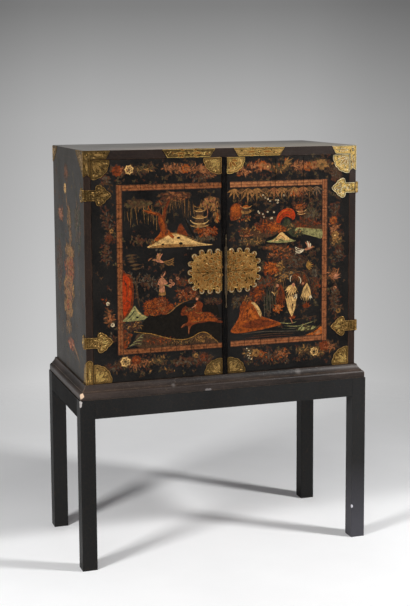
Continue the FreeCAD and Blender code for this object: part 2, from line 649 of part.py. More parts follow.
def build_corner_mounts():
    """Plates wrapped round the upper front corners, the upper back corners and one foot."""
    # upper front: across the top's edge, down the side's edge and back along the end
    wide = SIDE_THICKNESS - MOUNT_MARGIN
    low = -TOP_THICKNESS + MOUNT_MARGIN
    front = plate([
        (0, -CORNER_MOUNT_DROP, 0),
        (wide / 2, -CORNER_MOUNT_DROP + CORNER_MOUNT_NICK, 0),
        (wide, -CORNER_MOUNT_DROP, 0),
        (wide, low, 0),
        (CORNER_MOUNT_REACH - CORNER_MOUNT_BEVEL, low, 0),
        (CORNER_MOUNT_REACH, -EDGE_ROUNDING, 0),
        (0, -EDGE_ROUNDING, 0),
    ], MOUNT_PLATE)
    front = flip_x(on_front(front, CASE_LEFT, CASE_TOP))
    side = plate([
        (-MOUNT_PLATE, -CORNER_MOUNT_DROP, 0),
        *[(CORNER_MOUNT_SIDE * u, -CORNER_MOUNT_SIDE_DROP * w, MOUNT_LOBE_BOW) for u, w in CORNER_RIM_SHARES],
        (CORNER_MOUNT_SIDE, -EDGE_ROUNDING, 0),
        (-MOUNT_PLATE, -EDGE_ROUNDING, 0),
    ], MOUNT_PLATE)
    side = on_right(side, CASE_FRONT, CASE_TOP)
    place_wrapped("corner_mount_front", joined(front, side))
    edge_middle, top_middle = SIDE_THICKNESS / 2, TOP_THICKNESS / 2
    front_spots = [
        (edge_middle, top_middle, "case_top"),
        (CORNER_MOUNT_REACH * CORNER_FRONT_NAIL_SHARES[0], top_middle, "case_top"),
        (edge_middle, CORNER_MOUNT_DROP * CORNER_FRONT_NAIL_SHARES[1], "case_side"),
    ]
    for x, drop, board in front_spots:
        spot = V(CASE_RIGHT - x, CASE_FRONT - MOUNT_PLATE, CASE_TOP - drop)
        drive_wrapped(spot, V(0, -1, 0), "corner_mount_front", board)
    near, far, back, down = CORNER_SIDE_NAIL_SHARES
    side_spots = [
        (CORNER_MOUNT_SIDE * near, top_middle, "case_top"),
        (CORNER_MOUNT_SIDE * far, top_middle, "case_top"),
        (CORNER_MOUNT_SIDE * back, CORNER_MOUNT_SIDE_DROP * down, "case_side"),
    ]
    for y, drop, board in side_spots:
        spot = V(CASE_RIGHT + MOUNT_PLATE, CASE_FRONT + y, CASE_TOP - drop)
        drive_wrapped(spot, V(1, 0, 0), "corner_mount_front", board)

    # upper back
    side = plate([
        (-REAR_MOUNT_SIDE, -EDGE_ROUNDING, MOUNT_LOBE_BOW),
        (-REAR_MOUNT_SIDE * REAR_RIM_SHARES[0], -REAR_MOUNT_DROP * REAR_RIM_SHARES[1], MOUNT_LOBE_BOW),
        (0, -REAR_MOUNT_DROP, 0),
        (MOUNT_PLATE, -REAR_MOUNT_DROP, 0),
        (MOUNT_PLATE, -EDGE_ROUNDING, 0),
    ], MOUNT_PLATE)
    side = on_right(side, CASE_BACK, CASE_TOP)
    back = block(
        CASE_RIGHT - REAR_MOUNT_BACK, CASE_RIGHT, CASE_BACK, CASE_BACK + MOUNT_PLATE,
        CASE_TOP - REAR_MOUNT_DROP, CASE_TOP - EDGE_ROUNDING)
    place_wrapped("corner_mount_back", joined(side, back))
    near, far, back, down = REAR_NAIL_SHARES
    rear_spots = [
        (REAR_MOUNT_SIDE * near, top_middle, "case_top"),
        (REAR_MOUNT_SIDE * far, top_middle, "case_top"),
        (REAR_MOUNT_SIDE * back, REAR_MOUNT_DROP * down, "case_side"),
    ]
    for y, drop, board in rear_spots:
        spot = V(CASE_RIGHT + MOUNT_PLATE, CASE_BACK - y, CASE_TOP - drop)
        drive_wrapped(spot, V(1, 0, 0), "corner_mount_back", board)

    # left foot: a round-headed tab up the side's edge and a quarter plate along the end
    height = FOOT_MOUNT_HEIGHT
    tab = plate([
        (0, 0, 0),
        (wide, 0, 0),
        (wide, height - wide / 2, wide / 2 * (1 - math.sqrt(0.5))),
        (wide / 2, height, wide / 2 * (1 - math.sqrt(0.5))),
        (0, height - wide / 2, 0),
    ], MOUNT_PLATE)
    tab = on_front(tab, CASE_LEFT, MOULDING_TOP)
    side = plate([
        (-MOUNT_PLATE, 0, 0),
        *[(FOOT_MOUNT_SIDE * u, height * w, MOUNT_LOBE_BOW) for u, w in FOOT_RIM_SHARES],
        (FOOT_MOUNT_SIDE * FOOT_SHOULDER_SHARES[0], height * FOOT_SHOULDER_SHARES[1], 0),
        (-MOUNT_PLATE, height * FOOT_CROWN_SHARE, 0),
    ], MOUNT_PLATE)
    side = flip_x(on_right(side, CASE_FRONT, MOULDING_TOP))
    parts["corner_mount_foot_left"] = joined(tab, side)
    pieces = ["corner_mount_foot_left", "case_side_left"]
    for share in FOOT_NAIL_SHARES:
        level = MOULDING_TOP + height * share
        drive(V(CASE_LEFT + wide / 2, CASE_FRONT - MOUNT_PLATE, level), V(0, -1, 0), "case", pieces)
        spot = V(CASE_LEFT - MOUNT_PLATE, CASE_FRONT + FOOT_MOUNT_SIDE / 3, level)
        drive(spot, V(-1, 0, 0), "case", pieces)


def place_wrapped(name, right_hand):
    parts[f"{name}_right"] = right_hand
    parts[f"{name}_left"] = flip_x(right_hand)


def drive_wrapped(spot, direction, plate_name, board_name):
    """One nail at each end of the case; the top is a single board and the sides are two."""
    for side, sign in (("right", 1), ("left", -1)):
        board = board_name if board_name == "case_top" else f"{board_name}_{side}"
        place = V(sign * spot.x, spot.y, spot.z)
        drive(place, V(sign * direction.x, direction.y, direction.z), "case", [f"{plate_name}_{side}", board])


def build_band_mounts():
    """Two plates with bevelled ends on the front edge of the top."""
    low = -TOP_THICKNESS + MOUNT_MARGIN
    flat = plate([
        (-BAND_MOUNT_BOTTOM / 2, low, 0),
        (BAND_MOUNT_BOTTOM / 2, low, 0),
        (BAND_MOUNT_TOP / 2, -EDGE_ROUNDING, 0),
        (-BAND_MOUNT_TOP / 2, -EDGE_ROUNDING, 0),
    ], MOUNT_PLATE)
    pair = [on_front(flat, sign * BAND_MOUNT_OFFSET, CASE_TOP) for sign in (-1, 1)]
    parts["band_mounts"] = Part.makeCompound(pair)
    for sign in (-1, 1):
        for run in BAND_NAIL_SHARES:
            x = sign * BAND_MOUNT_OFFSET + run * BAND_MOUNT_TOP
            spot = V(x, CASE_FRONT - MOUNT_PLATE, CASE_TOP - TOP_THICKNESS * BAND_NAIL_DROP_SHARE)
            drive(spot, V(0, -1, 0), "case", ["band_mounts", "case_top"])


# ---------------------------------------------------------------- lock plates, lock and bolts

def keyhole(depth):
    """A keyhole-shaped prism that runs back from in front of the doors."""
    start = CASE_FRONT - 2 * BEAD_PROUD
    barrel = rod(KEYHOLE_RADIUS, depth, V(KEYHOLE_X, start, KEYHOLE_Z), V(0, 1, 0))
    half = KEYHOLE_SLOT_WIDTH / 2
    slot = block(
        KEYHOLE_X - half, KEYHOLE_X + half, start, start + depth, KEYHOLE_Z - KEYHOLE_SLOT_DROP, KEYHOLE_Z)
    return barrel.fuse(slot).removeSplitter()


def lobe_path():
    """Places along half a rounded rectangle, from the meeting edge round and back, evenly spaced."""
    half = ESCUTCHEON_HEIGHT / 2
    radius = ESCUTCHEON_CORNER
    straight = ESCUTCHEON_REACH - radius
    side = ESCUTCHEON_HEIGHT - 2 * radius
    bend = radius * math.pi / 2
    length = 2 * (straight + bend) + side

    def place(run):
        if run < straight:
            return run, half
        if run < straight + bend:
            angle = (run - straight) / radius
            return straight + radius * math.sin(angle), half - radius * (1 - math.cos(angle))
        if run < straight + bend + side:
            return ESCUTCHEON_REACH, half - radius - (run - straight - bend)
        u, w = place(length - run)
        return u, -w

    pitch = length / ESCUTCHEON_LOBES
    lobes = [place(pitch * (number + 0.5)) for number in range(ESCUTCHEON_LOBES)]
    notches = [place(pitch * number) for number in range(1, ESCUTCHEON_LOBES)]
    return lobes, notches


def lock_plate():
    """Half of the lock plates: a rounded field with a rim of lobes parted by round notches."""
    half = ESCUTCHEON_HEIGHT / 2
    radius = ESCUTCHEON_CORNER
    bow = radius * (1 - math.sqrt(0.5))
    field = plate([
        (0, -half, 0),
        (ESCUTCHEON_REACH - radius, -half, bow),
        (ESCUTCHEON_REACH, -half + radius, 0),
        (ESCUTCHEON_REACH, half - radius, bow),
        (ESCUTCHEON_REACH - radius, half, 0),
        (0, half, 0),
    ], ESCUTCHEON_PLATE)
    lobes, notches = lobe_path()
    discs = [rod(LOBE_RADIUS, ESCUTCHEON_PLATE, V(u, w, 0)) for u, w in lobes]
    bites = [rod(NOTCH_RADIUS, ESCUTCHEON_PLATE, V(u, w, 0)) for u, w in notches]
    behind_edge = block(-2 * LOBE_RADIUS, 0, -2 * half, 2 * half, 0, ESCUTCHEON_PLATE)
    return joined(field, *discs).cut(Part.makeCompound(bites)).cut(behind_edge)


def build_lock_plates():
    flat = lock_plate()
    parts["escutcheon_right"] = on_front(flat, BEAD_RIGHT, LOCK_Z).cut(keyhole(6 * BEAD_PROUD))
    parts["escutcheon_left"] = on_front(flip_x(flat), LEFT_DOOR_MEETING, LOCK_Z)
    for side, sign, meeting in (("left", -1, LEFT_DOOR_MEETING), ("right", 1, BEAD_RIGHT)):
        for u, w in LOCK_NAIL_SHARES:
            for rise in (-w, w):
                x, z = meeting + sign * ESCUTCHEON_REACH * u, LOCK_Z + ESCUTCHEON_HEIGHT * rise
                pieces = [f"escutcheon_{side}", f"door_{side}"]
                drive(V(x, CASE_FRONT - ESCUTCHEON_PLATE, z), V(0, -1, 0), f"door_{side}", pieces)


def build_lock():
    """A box lock behind the right door, its sliding bolt, and a keeper behind the left door."""
    left = BEAD_LEFT + LOCK_SETBACK
    half = LOCK_CASE_HEIGHT / 2
    case = block(left, left + LOCK_WIDTH, DOOR_BACK, DOOR_BACK + LOCK_DEPTH, LOCK_Z - half, LOCK_Z + half)
    hollow = block(
        left + LOCK_WALL, left + LOCK_WIDTH - LOCK_WALL,
        DOOR_BACK + LOCK_WALL, DOOR_BACK + LOCK_DEPTH - LOCK_WALL,
        LOCK_Z - half + LOCK_WALL, LOCK_Z + half - LOCK_WALL)
    middle = DOOR_BACK + LOCK_DEPTH / 2
    tall, thick = BOLT_HEIGHT / 2, BOLT_THICKNESS / 2
    gap = BOLT_CLEARANCE
    mouth = block(
        left - gap, left + LOCK_WALL + gap, middle - thick - gap, middle + thick + gap,
        BOLT_Z - tall - gap, BOLT_Z + tall + gap)
    reach = 2 * BEAD_PROUD + DOOR_THICKNESS + 2 * LOCK_WALL
    parts["lock_case"] = case.cut(hollow).cut(mouth).cut(keyhole(reach))
    parts["door_right"] = parts["door_right"].cut(keyhole(reach))

    tip = left - BOLT_PROUD
    parts["lock_bolt"] = block(
        tip, tip + BOLT_LENGTH, middle - thick, middle + thick, BOLT_Z - tall, BOLT_Z + tall)

    right = LEFT_DOOR_MEETING - KEEPER_SETBACK
    pocket_end = tip - BOLT_TRAVEL - gap
    wall = KEEPER_WALL
    keeper = block(
        pocket_end - wall, right, DOOR_BACK, middle + thick + gap + wall,
        BOLT_Z - tall - gap - wall, BOLT_Z + tall + gap + wall)
    pocket = block(
        pocket_end, right, middle - thick - gap, middle + thick + gap,
        BOLT_Z - tall - gap, BOLT_Z + tall + gap)
    parts["lock_keeper"] = keeper.cut(pocket)


def slide_bolt(end, towards):
    """A flat bolt with a knob, and its guide; it shoots towards +1 or -1 along Z from the given level."""
    half = SLIDE_WIDTH / 2
    gap = SLIDE_CLEARANCE
    seat = DOOR_BACK + GUIDE_PLATE
    near, far = seat + gap, seat + gap + SLIDE_THICKNESS
    foot = end - towards * SLIDE_LENGTH
    bar = block(SLIDE_X - half, SLIDE_X + half, near, far, min(end, foot), max(end, foot))
    knob_z = (end + foot) / 2
    knob = rod(SLIDE_KNOB_RADIUS, SLIDE_KNOB_HEIGHT, V(SLIDE_X, far, knob_z), V(0, 1, 0))
    bar = bar.fuse(knob).removeSplitter()

    wide = GUIDE_WIDTH / 2
    low, high = knob_z - GUIDE_LENGTH / 2, knob_z + GUIDE_LENGTH / 2
    guide = block(SLIDE_X - wide, SLIDE_X + wide, DOOR_BACK, seat, low, high)
    bridge_half = half + gap + GUIDE_WALL
    bridges = []
    for start in (low, high - GUIDE_STRAP):
        stop = start + GUIDE_STRAP
        crown = far + gap + GUIDE_WALL
        bridge = block(SLIDE_X - bridge_half, SLIDE_X + bridge_half, seat, crown, start, stop)
        way = block(SLIDE_X - half - gap, SLIDE_X + half + gap, seat, far + gap, start, stop)
        bridges.append(bridge.cut(way))
    socket_end = end + towards * (SLIDE_TRAVEL + gap)
    socket = block(
        SLIDE_X - half - gap, SLIDE_X + half + gap, near - gap, far + gap,
        min(end, socket_end), max(end, socket_end))
    return bar, joined(guide, *bridges), socket


def build_slide_bolts():
    """Bolts at the head and foot of the left door, drawn back; they shoot into the stop and the floor."""
    upper, upper_guide, upper_socket = slide_bolt(STOP_BOTTOM - SLIDE_PARKING, 1)
    lower, lower_guide, lower_socket = slide_bolt(FLOOR_TOP + SLIDE_PARKING, -1)
    parts["slide_bolt_top"] = upper
    parts["slide_bolt_bottom"] = lower
    parts["bolt_guides"] = Part.makeCompound([upper_guide, lower_guide])
    parts["door_stop"] = parts["door_stop"].cut(upper_socket)
    parts["case_floor"] = parts["case_floor"].cut(lower_socket)


# ---------------------------------------------------------------- build and write

build_stand()
build_moulding()
build_case()
build_shelves()
build_doors()
build_hinges()
build_door_mounts()
build_corner_mounts()
build_band_mounts()
build_lock_plates()
build_lock()
build_slide_bolts()
for group, driven in nails.items():
    parts[f"nails_{group}"] = Part.makeCompound(driven)

for name, shape in parts.items():
    if not shape.isValid():
        print("not valid:", name)
    shape.exportStep(f"parts/{name}.step")
print(len(parts), "parts written")
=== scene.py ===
# %% [markdown]
# # A lacquered cabinet on a stand
#
# The cabinet is a black lacquered box with two doors, brass lock plates, strap hinges and corner mounts.
# It stands on a plain black stand. Its boards, hinges and bolts could be built here from cubes, but they
# come from a drawing that fixes every size and joint, so they arrive as finished solids in their real
# place. What is left to make is everything that a hand did after the joiner: lacquer, wear, engraving and
# the raised landscape on the doors.
#
# The solids never move. Every new piece is laid on one of them and rides with the body that it belongs to,
# so that it turns with its door.

# %% Load the cabinet
import bpy
import json
import math
import random
from mathutils import Matrix, Vector
from mathutils.geometry import tessellate_polygon


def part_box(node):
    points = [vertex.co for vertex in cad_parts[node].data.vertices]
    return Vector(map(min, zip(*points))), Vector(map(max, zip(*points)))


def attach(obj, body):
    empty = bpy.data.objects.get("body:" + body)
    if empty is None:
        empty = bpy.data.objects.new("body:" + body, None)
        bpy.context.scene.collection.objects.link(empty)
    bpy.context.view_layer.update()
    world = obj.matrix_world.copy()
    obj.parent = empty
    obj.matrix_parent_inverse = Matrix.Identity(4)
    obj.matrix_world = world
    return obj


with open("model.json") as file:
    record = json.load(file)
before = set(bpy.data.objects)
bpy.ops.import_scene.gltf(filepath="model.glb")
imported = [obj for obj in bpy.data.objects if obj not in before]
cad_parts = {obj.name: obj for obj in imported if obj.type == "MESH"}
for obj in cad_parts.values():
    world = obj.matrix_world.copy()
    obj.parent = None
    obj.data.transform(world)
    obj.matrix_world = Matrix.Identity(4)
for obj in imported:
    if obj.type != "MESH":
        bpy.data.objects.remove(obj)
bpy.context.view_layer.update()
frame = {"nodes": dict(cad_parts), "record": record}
nodes = frame["nodes"]

# %% [markdown]
# ## Places
#
# A painter measures a door in millimetres, from its middle and from the floor, and so does this file: x to
# the right and z upwards. The faces that carry paint could be typed in as numbers. They're read from the
# solids instead, so the paint always sits on the wood.

# %% Read the faces that carry decoration
MM = 0.001
DOOR_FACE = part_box("door_left")[0].y
CASE_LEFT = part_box("case_side_left")[0].x
CASE_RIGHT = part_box("case_side_right")[1].x
CASE_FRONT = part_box("case_side_left")[0].y
print("door face y:", round(DOOR_FACE, 4), "case ends x:", round(CASE_LEFT, 3), round(CASE_RIGHT, 3))

# %% [markdown]
# ## Camera
#
# A wide lens close by would splay the legs, so a long one looks from far off, in front and a little to the
# left. A constraint could aim it, but here it's placed by its own turns: to the side, down and a very small
# roll. A small vertical shift slides the picture without more tilt, as a view camera does.

# %% Camera
CAMERA_PLACE = Vector((-1.382, -4.139, 1.571))
CAMERA_TURN = 18.52   # degrees to the side
CAMERA_DIP = 6.78     # degrees downwards
CAMERA_ROLL = -0.31   # degrees about the line of sight
LENS = 74.25          # mm
FILM_WIDTH = 36       # mm
SHIFT = -0.104        # share of the film's width
CABINET_MIDDLE = Vector((0, 0, 0.8))

camera_data = bpy.data.cameras.new("camera")
camera_data.lens = LENS
camera_data.sensor_width = FILM_WIDTH
camera_data.shift_y = SHIFT
camera = bpy.data.objects.new("camera", camera_data)
bpy.context.scene.collection.objects.link(camera)
turned = Matrix.Rotation(math.radians(-CAMERA_TURN), 4, "Z")
dipped = Matrix.Rotation(math.radians(90 - CAMERA_DIP), 4, "X")
rolled = Matrix.Rotation(math.radians(CAMERA_ROLL), 4, "Z")
camera.matrix_world = Matrix.Translation(CAMERA_PLACE) @ turned @ dipped @ rolled
bpy.context.scene.camera = camera
bpy.context.scene.view_settings.view_transform = "Standard"
print("camera stands", round((CAMERA_PLACE - CABINET_MIDDLE).length, 2), "m away")

# %% [markdown]
# ## Colours and recipes
#
# A colour typed in as it looks would render too pale, because Blender mixes light; one small function makes
# it linear. A finish is a network of nodes. Wired by hand in the shader editor, or typed out in full, it
# takes several lines a node. This class adds one node at a time and returns the socket with its result, so
# that a finish reads like a recipe.

# %% Colours and node recipes
def tone(red, green, blue):
    """A colour as a screen shows it (0 to 255), turned into the linear values that Blender mixes."""
    def linear(value):
        value /= 255
        return value / 12.92 if value <= 0.04045 else ((value + 0.055) / 1.055) ** 2.4
    return (linear(red), linear(green), linear(blue), 1.0)


def greys(stops):
    """Stops of a grey ramp, given as (position, grey) pairs."""
    return [(position, tone(grey, grey, grey)) for position, grey in stops]


class Mix:
    """A tree of shader nodes. Each method adds nodes and returns the socket with their result."""

    def __init__(self, tree):
        self.tree = tree

    def add(self, kind, sockets=None, **settings):
        node = self.tree.nodes.new(kind)
        for key, value in settings.items():
            setattr(node, key, value)
        for key, value in (sockets or {}).items():
            self.put(node.inputs[key], value)
        return node

    def put(self, socket, value):
        if isinstance(value, bpy.types.NodeSocket):
            self.tree.links.new(value, socket)
        else:
            socket.default_value = value

    def reckon(self, operation, first, second=0.0, clamp=False):
        node = self.add("ShaderNodeMath", {0: first, 1: second}, operation=operation, use_clamp=clamp)
        return node.outputs[0]

    def times(self, value, factor):
        return self.reckon("MULTIPLY", value, factor)

    def between(self, value, low, high):
        """The value stretched so that 0 becomes low and 1 becomes high."""
        return self.reckon("ADD", self.times(value, high - low), low)

    def step(self, value, low, high):
        """0 below low, 1 above high and a straight slope between them."""
        return self.add("ShaderNodeMapRange", {"Value": value, "From Min": low, "From Max": high}).outputs[0]

    def ramp(self, factor, *stops):
        node = self.add("ShaderNodeValToRGB", {"Fac": factor})
        elements = node.color_ramp.elements
        for number, (position, colour) in enumerate(stops):
            element = elements[number] if number < 2 else elements.new(position)
            element.position = position
            element.color = colour
        return node.outputs["Color"]

    def blend(self, factor, under, over, kind="MIX"):
        node = self.add("ShaderNodeMix", {0: factor, 6: under, 7: over}, data_type="RGBA", blend_type=kind)
        return node.outputs[2]


print("Mix can", [name for name in vars(Mix) if name[0] != "_"])

# %% [markdown]
# ## A finish and its patterns
#
# Clouds, cracks, rubbed edges and chips make a surface look old. Pictures of worn lacquer could be wrapped
# round the boards, but they'd stretch and repeat. A pattern worked out from a place in space doesn't.
# Places are the object's own, in metres, so the pattern stays on the wood when a door turns.

# %% Finish and patterns
SOCKETS = {"metallic": "Metallic", "specular_ior_level": "Specular IOR Level"}


class Finish(Mix):
    """The material of one surface, placed in the object's own coordinates."""

    def __init__(self, name):
        self.material = bpy.data.materials.new(name)
        self.material.use_nodes = True
        super().__init__(self.material.node_tree)
        self.shader = self.tree.nodes["Principled BSDF"]
        self.place = self.add("ShaderNodeTexCoord").outputs["Object"]

    def noise(self, scale, detail=4.0, stretch=(1, 1, 1), roughness=0.55):
        """Cloudy noise; the scale is features to the metre and stretch squeezes it along an axis."""
        mapped = self.add("ShaderNodeMapping", {"Vector": self.place, "Scale": stretch})
        cloud = self.add("ShaderNodeTexNoise", {
            "Vector": mapped.outputs["Vector"], "Scale": scale, "Detail": detail, "Roughness": roughness})
        return cloud.outputs["Fac"]

    def cracks(self, scale, stretch=(1, 1, 1)):
        """Distance to the nearest crack of an irregular net."""
        mapped = self.add("ShaderNodeMapping", {"Vector": self.place, "Scale": stretch})
        net = self.add("ShaderNodeTexVoronoi", {"Vector": mapped.outputs["Vector"], "Scale": scale},
                       feature="DISTANCE_TO_EDGE")
        return net.outputs["Distance"]

    def edges(self, radius):
        """1 on sharp edges and 0 on flat faces: a bevelled normal is compared with the true one."""
        rounded = self.add("ShaderNodeBevel", {"Radius": radius}, samples=6).outputs["Normal"]
        flat = self.add("ShaderNodeNewGeometry").outputs["Normal"]
        dot = self.add("ShaderNodeVectorMath", {0: rounded, 1: flat}, operation="DOT_PRODUCT")
        return self.step(dot.outputs["Value"], 0.99, 0.75)

    def near(self, spot, radius, raggedness=0.5, soft=0.2):
        """1 inside a ragged spot on the surface; used for a chip or a patch of wear."""
        apart = self.add("ShaderNodeVectorMath", {0: self.place, 1: spot}, operation="DISTANCE")
        ragged = self.times(self.noise(260, 3), raggedness * 2 * radius)
        ragged = self.reckon("SUBTRACT", ragged, raggedness * radius)
        return self.step(self.reckon("ADD", apart.outputs["Value"], ragged), radius, radius * (1 - soft))

    def bump(self, height, distance, strength=1.0):
        node = self.add("ShaderNodeBump", {"Height": height, "Distance": distance, "Strength": strength})
        self.put(self.shader.inputs["Normal"], node.outputs["Normal"])

    def done(self, colour, roughness, **fixed):
        """Plug in colour and roughness; everything else is a plain number on the shader's own socket."""
        self.put(self.shader.inputs["Base Color"], colour)
        self.put(self.shader.inputs["Roughness"], roughness)
        for key, value in fixed.items():
            self.shader.inputs[SOCKETS[key]].default_value = value
        return self.material


print("Finish can", [name for name in vars(Finish) if name[0] != "_"])

# %% [markdown]
# ## Backdrop and floor
#
# In a studio paper runs up behind the piece without a line. A curved sheet would do that, but it throws
# light back at the cabinet. So the backdrop is only the world's colour: the camera, mirrors and glass see
# it, and all other rays see a weak, even fill. The floor holds the shadow. It's round, and its Alpha falls
# to nothing towards the rim.

# %% Backdrop and floor
# The backdrop's colour carries a painted pool of light: brightest low down and in the middle, falling off to
# grey at the top and the sides.
BACKDROP = [(0.0, 252), (0.2, 232), (0.257, 217), (0.29, 206), (0.35, 199), (0.43, 188), (0.477, 178),
            (0.509, 164), (0.567, 127), (0.8, 104)]
ACROSS = [(0.34, 236), (0.37, 248), (0.41, 255), (0.54, 255), (0.585, 248), (0.63, 230), (0.66, 221)]
ACROSS_TURN = math.radians(18.5)
ROOM = tone(132, 132, 134)
FILL = tone(236, 238, 244)
FILL_STRENGTH = 0.12

world = bpy.data.worlds.new("studio")
bpy.context.scene.world = world
world.use_nodes = True
world.node_tree.nodes.clear()
studio = Mix(world.node_tree)
direction = studio.add("ShaderNodeTexCoord").outputs["Generated"]
along = studio.add("ShaderNodeSeparateXYZ", {0: direction})
shown = studio.ramp(studio.step(along.outputs["Z"], -0.5, 0.5), *greys(BACKDROP))
to_the_right = Vector((math.cos(ACROSS_TURN), -math.sin(ACROSS_TURN), 0))
side = studio.add("ShaderNodeVectorMath", {0: direction, 1: to_the_right}, operation="DOT_PRODUCT")
across = studio.ramp(studio.step(side.outputs["Value"], -0.5, 0.5), *greys(ACROSS))
shown = studio.blend(1.0, shown, across, "MULTIPLY")
ray = studio.add("ShaderNodeLightPath")
room = studio.blend(1.0, shown, ROOM, "MULTIPLY")
mirrored = studio.blend(studio.step(along.outputs["Y"], -0.25, 0.3), room, shown)
shown = studio.blend(ray.outputs["Is Glossy Ray"], shown, mirrored)
seen = studio.reckon("MAXIMUM", ray.outputs["Is Camera Ray"], ray.outputs["Is Glossy Ray"])
seen = studio.reckon("MAXIMUM", seen, ray.outputs["Is Transmission Ray"])
backdrop = studio.add("ShaderNodeBackground", {"Color": shown})
fill = studio.add("ShaderNodeBackground", {"Color": FILL, "Strength": FILL_STRENGTH})
choose = studio.add("ShaderNodeMixShader", {0: seen, 1: fill.outputs[0], 2: backdrop.outputs[0]})
studio.add("ShaderNodeOutputWorld", {"Surface": choose.outputs[0]})

FLOOR_RADIUS = 2.5
FLOOR_FADE = 1.5

paper = Finish("studio_paper")
from_middle = paper.add("ShaderNodeVectorMath", {0: paper.place}, operation="LENGTH").outputs["Value"]
paper.put(paper.shader.inputs["Alpha"], paper.step(from_middle, FLOOR_RADIUS, FLOOR_RADIUS - FLOOR_FADE))
whites = paper.ramp(paper.noise(2), *greys([(0.3, 246), (0.7, 252)]))
paper.done(whites, 0.6, specular_ior_level=0.2)

bpy.ops.mesh.primitive_circle_add(vertices=96, radius=FLOOR_RADIUS, fill_type="NGON")
floor = bpy.context.object
floor.name = "studio_floor"
floor.data.materials.append(paper.material)
print("floor radius", FLOOR_RADIUS, "m, fading over its last", FLOOR_FADE, "m")

# %% [markdown]
# ## Lamps
#
# Two bright lamps, half a metre wide, stand in front at the left and the right and leave two shadows of
# every leg. A large dim one fills the front and a faint one lifts the back. One lamp would be simpler, but
# on black lacquer it leaves a single glare and nothing else.

# %% Lamps
LAMPS = {   # place and width in metres, power in watts
    "lamp_left": ((-2.65, -1.55, 2.25), 0.6, 88),
    "lamp_right": ((2.4, -1.75, 2.35), 0.42, 100),
    "lamp_front": ((-2.6, -4.6, 3.0), 2.2, 32),
    "lamp_back": ((0.3, 2.3, 3.3), 1.5, 6),
}
for name, (place, size, watts) in LAMPS.items():
    light = bpy.data.lights.new(name, "AREA")
    light.size = size
    light.energy = watts
    lamp = bpy.data.objects.new(name, light)
    bpy.context.scene.collection.objects.link(lamp)
    lamp.location = place
    lamp.rotation_euler = (CABINET_MIDDLE - lamp.location).to_track_quat("-Z", "Y").to_euler()
print("lamps:", ", ".join(LAMPS))

# %% [markdown]
# ## Lacquer
#
# Old black lacquer fades to brown and grey in the light, it crazes into a fine net, and at every edge hands
# have rubbed it down to the wood. That could be painted on each board by hand. Here each kind of wear is
# one noise or one mask, so one recipe serves the whole cabinet: the ends faded more, the top dusty and with
# a painted sheen, the front edges more wood than lacquer. A scuff, a patch of painted light or a chip is a
# place, a radius in metres and the colour that shows there.

# %% Lacquers
def lacquer(name, deep, faded, worn, *, cloud=5, stretch=(1, 1, 1), fading=(0.35, 0.75), rub=0.5,
            edge=0.003, gloss=(0.3, 0.5), craze=70, chips=(), scuffs_and_painted_light=(), shine=0.4):
    """Black lacquer with clouds of fading, a crazed surface, rubbed edges and a few chips to the wood."""
    finish = Finish(name)
    clouds = finish.noise(cloud, 6, stretch)
    colour = finish.ramp(clouds, (fading[0], tone(*deep)), (fading[1], tone(*faded)))
    specks = finish.step(finish.noise(900, 2), 0.66, 0.74)
    colour = finish.blend(finish.times(specks, 0.35), colour, tone(*faded))
    net = finish.step(finish.cracks(craze), 0.02, 0.0)
    colour = finish.blend(finish.times(net, 0.3), colour, tone(*worn))
    rubbed = finish.step(finish.noise(45, 5), 0.62 - 0.3 * rub, 0.72 - 0.1 * rub)
    rubbed = finish.reckon("MULTIPLY", rubbed, finish.edges(edge), clamp=True)
    colour = finish.blend(rubbed, colour, tone(*worn))
    # Scuffs, and patches of painted light: painted highlights on the front of the top and a painted sheen on
    # the foot of the front right leg.
    for spot, radius, bare in scuffs_and_painted_light:
        scuff_or_painted_light = finish.times(finish.near(spot, radius, 0.1, 0.9), 0.9)
        colour = finish.blend(scuff_or_painted_light, colour, tone(*bare))
    for spot, radius, bare in chips:
        colour = finish.blend(finish.near(spot, radius), colour, tone(*bare))
    scratches = finish.noise(400, 2, (1, 1, 0.02))
    clouded = finish.times(clouds, 0.4)
    height = finish.reckon("ADD", clouded, finish.times(scratches, 0.2))
    height = finish.reckon("SUBTRACT", height, finish.times(net, 0.15))
    finish.bump(height, 0.0006)
    roughness = finish.between(finish.step(finish.noise(12, 4), 0.0, 1.0), *gloss)
    return finish.done(colour, roughness, specular_ior_level=shine)


door_lacquer = lacquer("door_lacquer", (11, 11, 11), (29, 27, 25), (72, 54, 40),
                       cloud=9, fading=(0.32, 0.66), gloss=(0.24, 0.38), shine=0.25)

# Painted highlights: large pale patches that lighten the front of the top, where it catches the light.
TOP_PAINTED_HIGHLIGHTS = [((-0.16, -0.2, 1.385), 0.26, (176, 162, 150)), ((0.1, -0.18, 1.385), 0.28, (178, 166, 150)),
              ((0.36, -0.12, 1.385), 0.26, (166, 158, 144))]
MOULDING_SCUFFS = [
    ((0.262, -0.235, 0.612), 0.014, (104, 98, 94)), ((0.35, -0.235, 0.614), 0.008, (84, 78, 74)),
    ((-0.19, -0.24, 0.6), 0.009, (104, 98, 94)),
]
MOULDING_CHIPS = [
    ((-0.506, -0.247, 0.591), 0.011, (222, 190, 160)), ((-0.075, -0.248, 0.5765), 0.006, (116, 110, 108)),
    ((-0.064, -0.248, 0.5765), 0.006, (116, 110, 108)),
]
# A painted patch of light: lighter, bluer lacquer over the foot of the front right leg, as lit from the
# right.
STAND_PAINTED_LIGHT = [((0.49, -0.251, 0.02), 0.26, (74, 73, 78))]
STAND_CHIPS = [
    ((-0.51, -0.249, 0.568), 0.008, (186, 180, 176)), ((-0.51, -0.249, 0.56), 0.007, (176, 170, 166)),
    ((0.461, -0.251, 0.1138), 0.006, (200, 198, 204)),
]

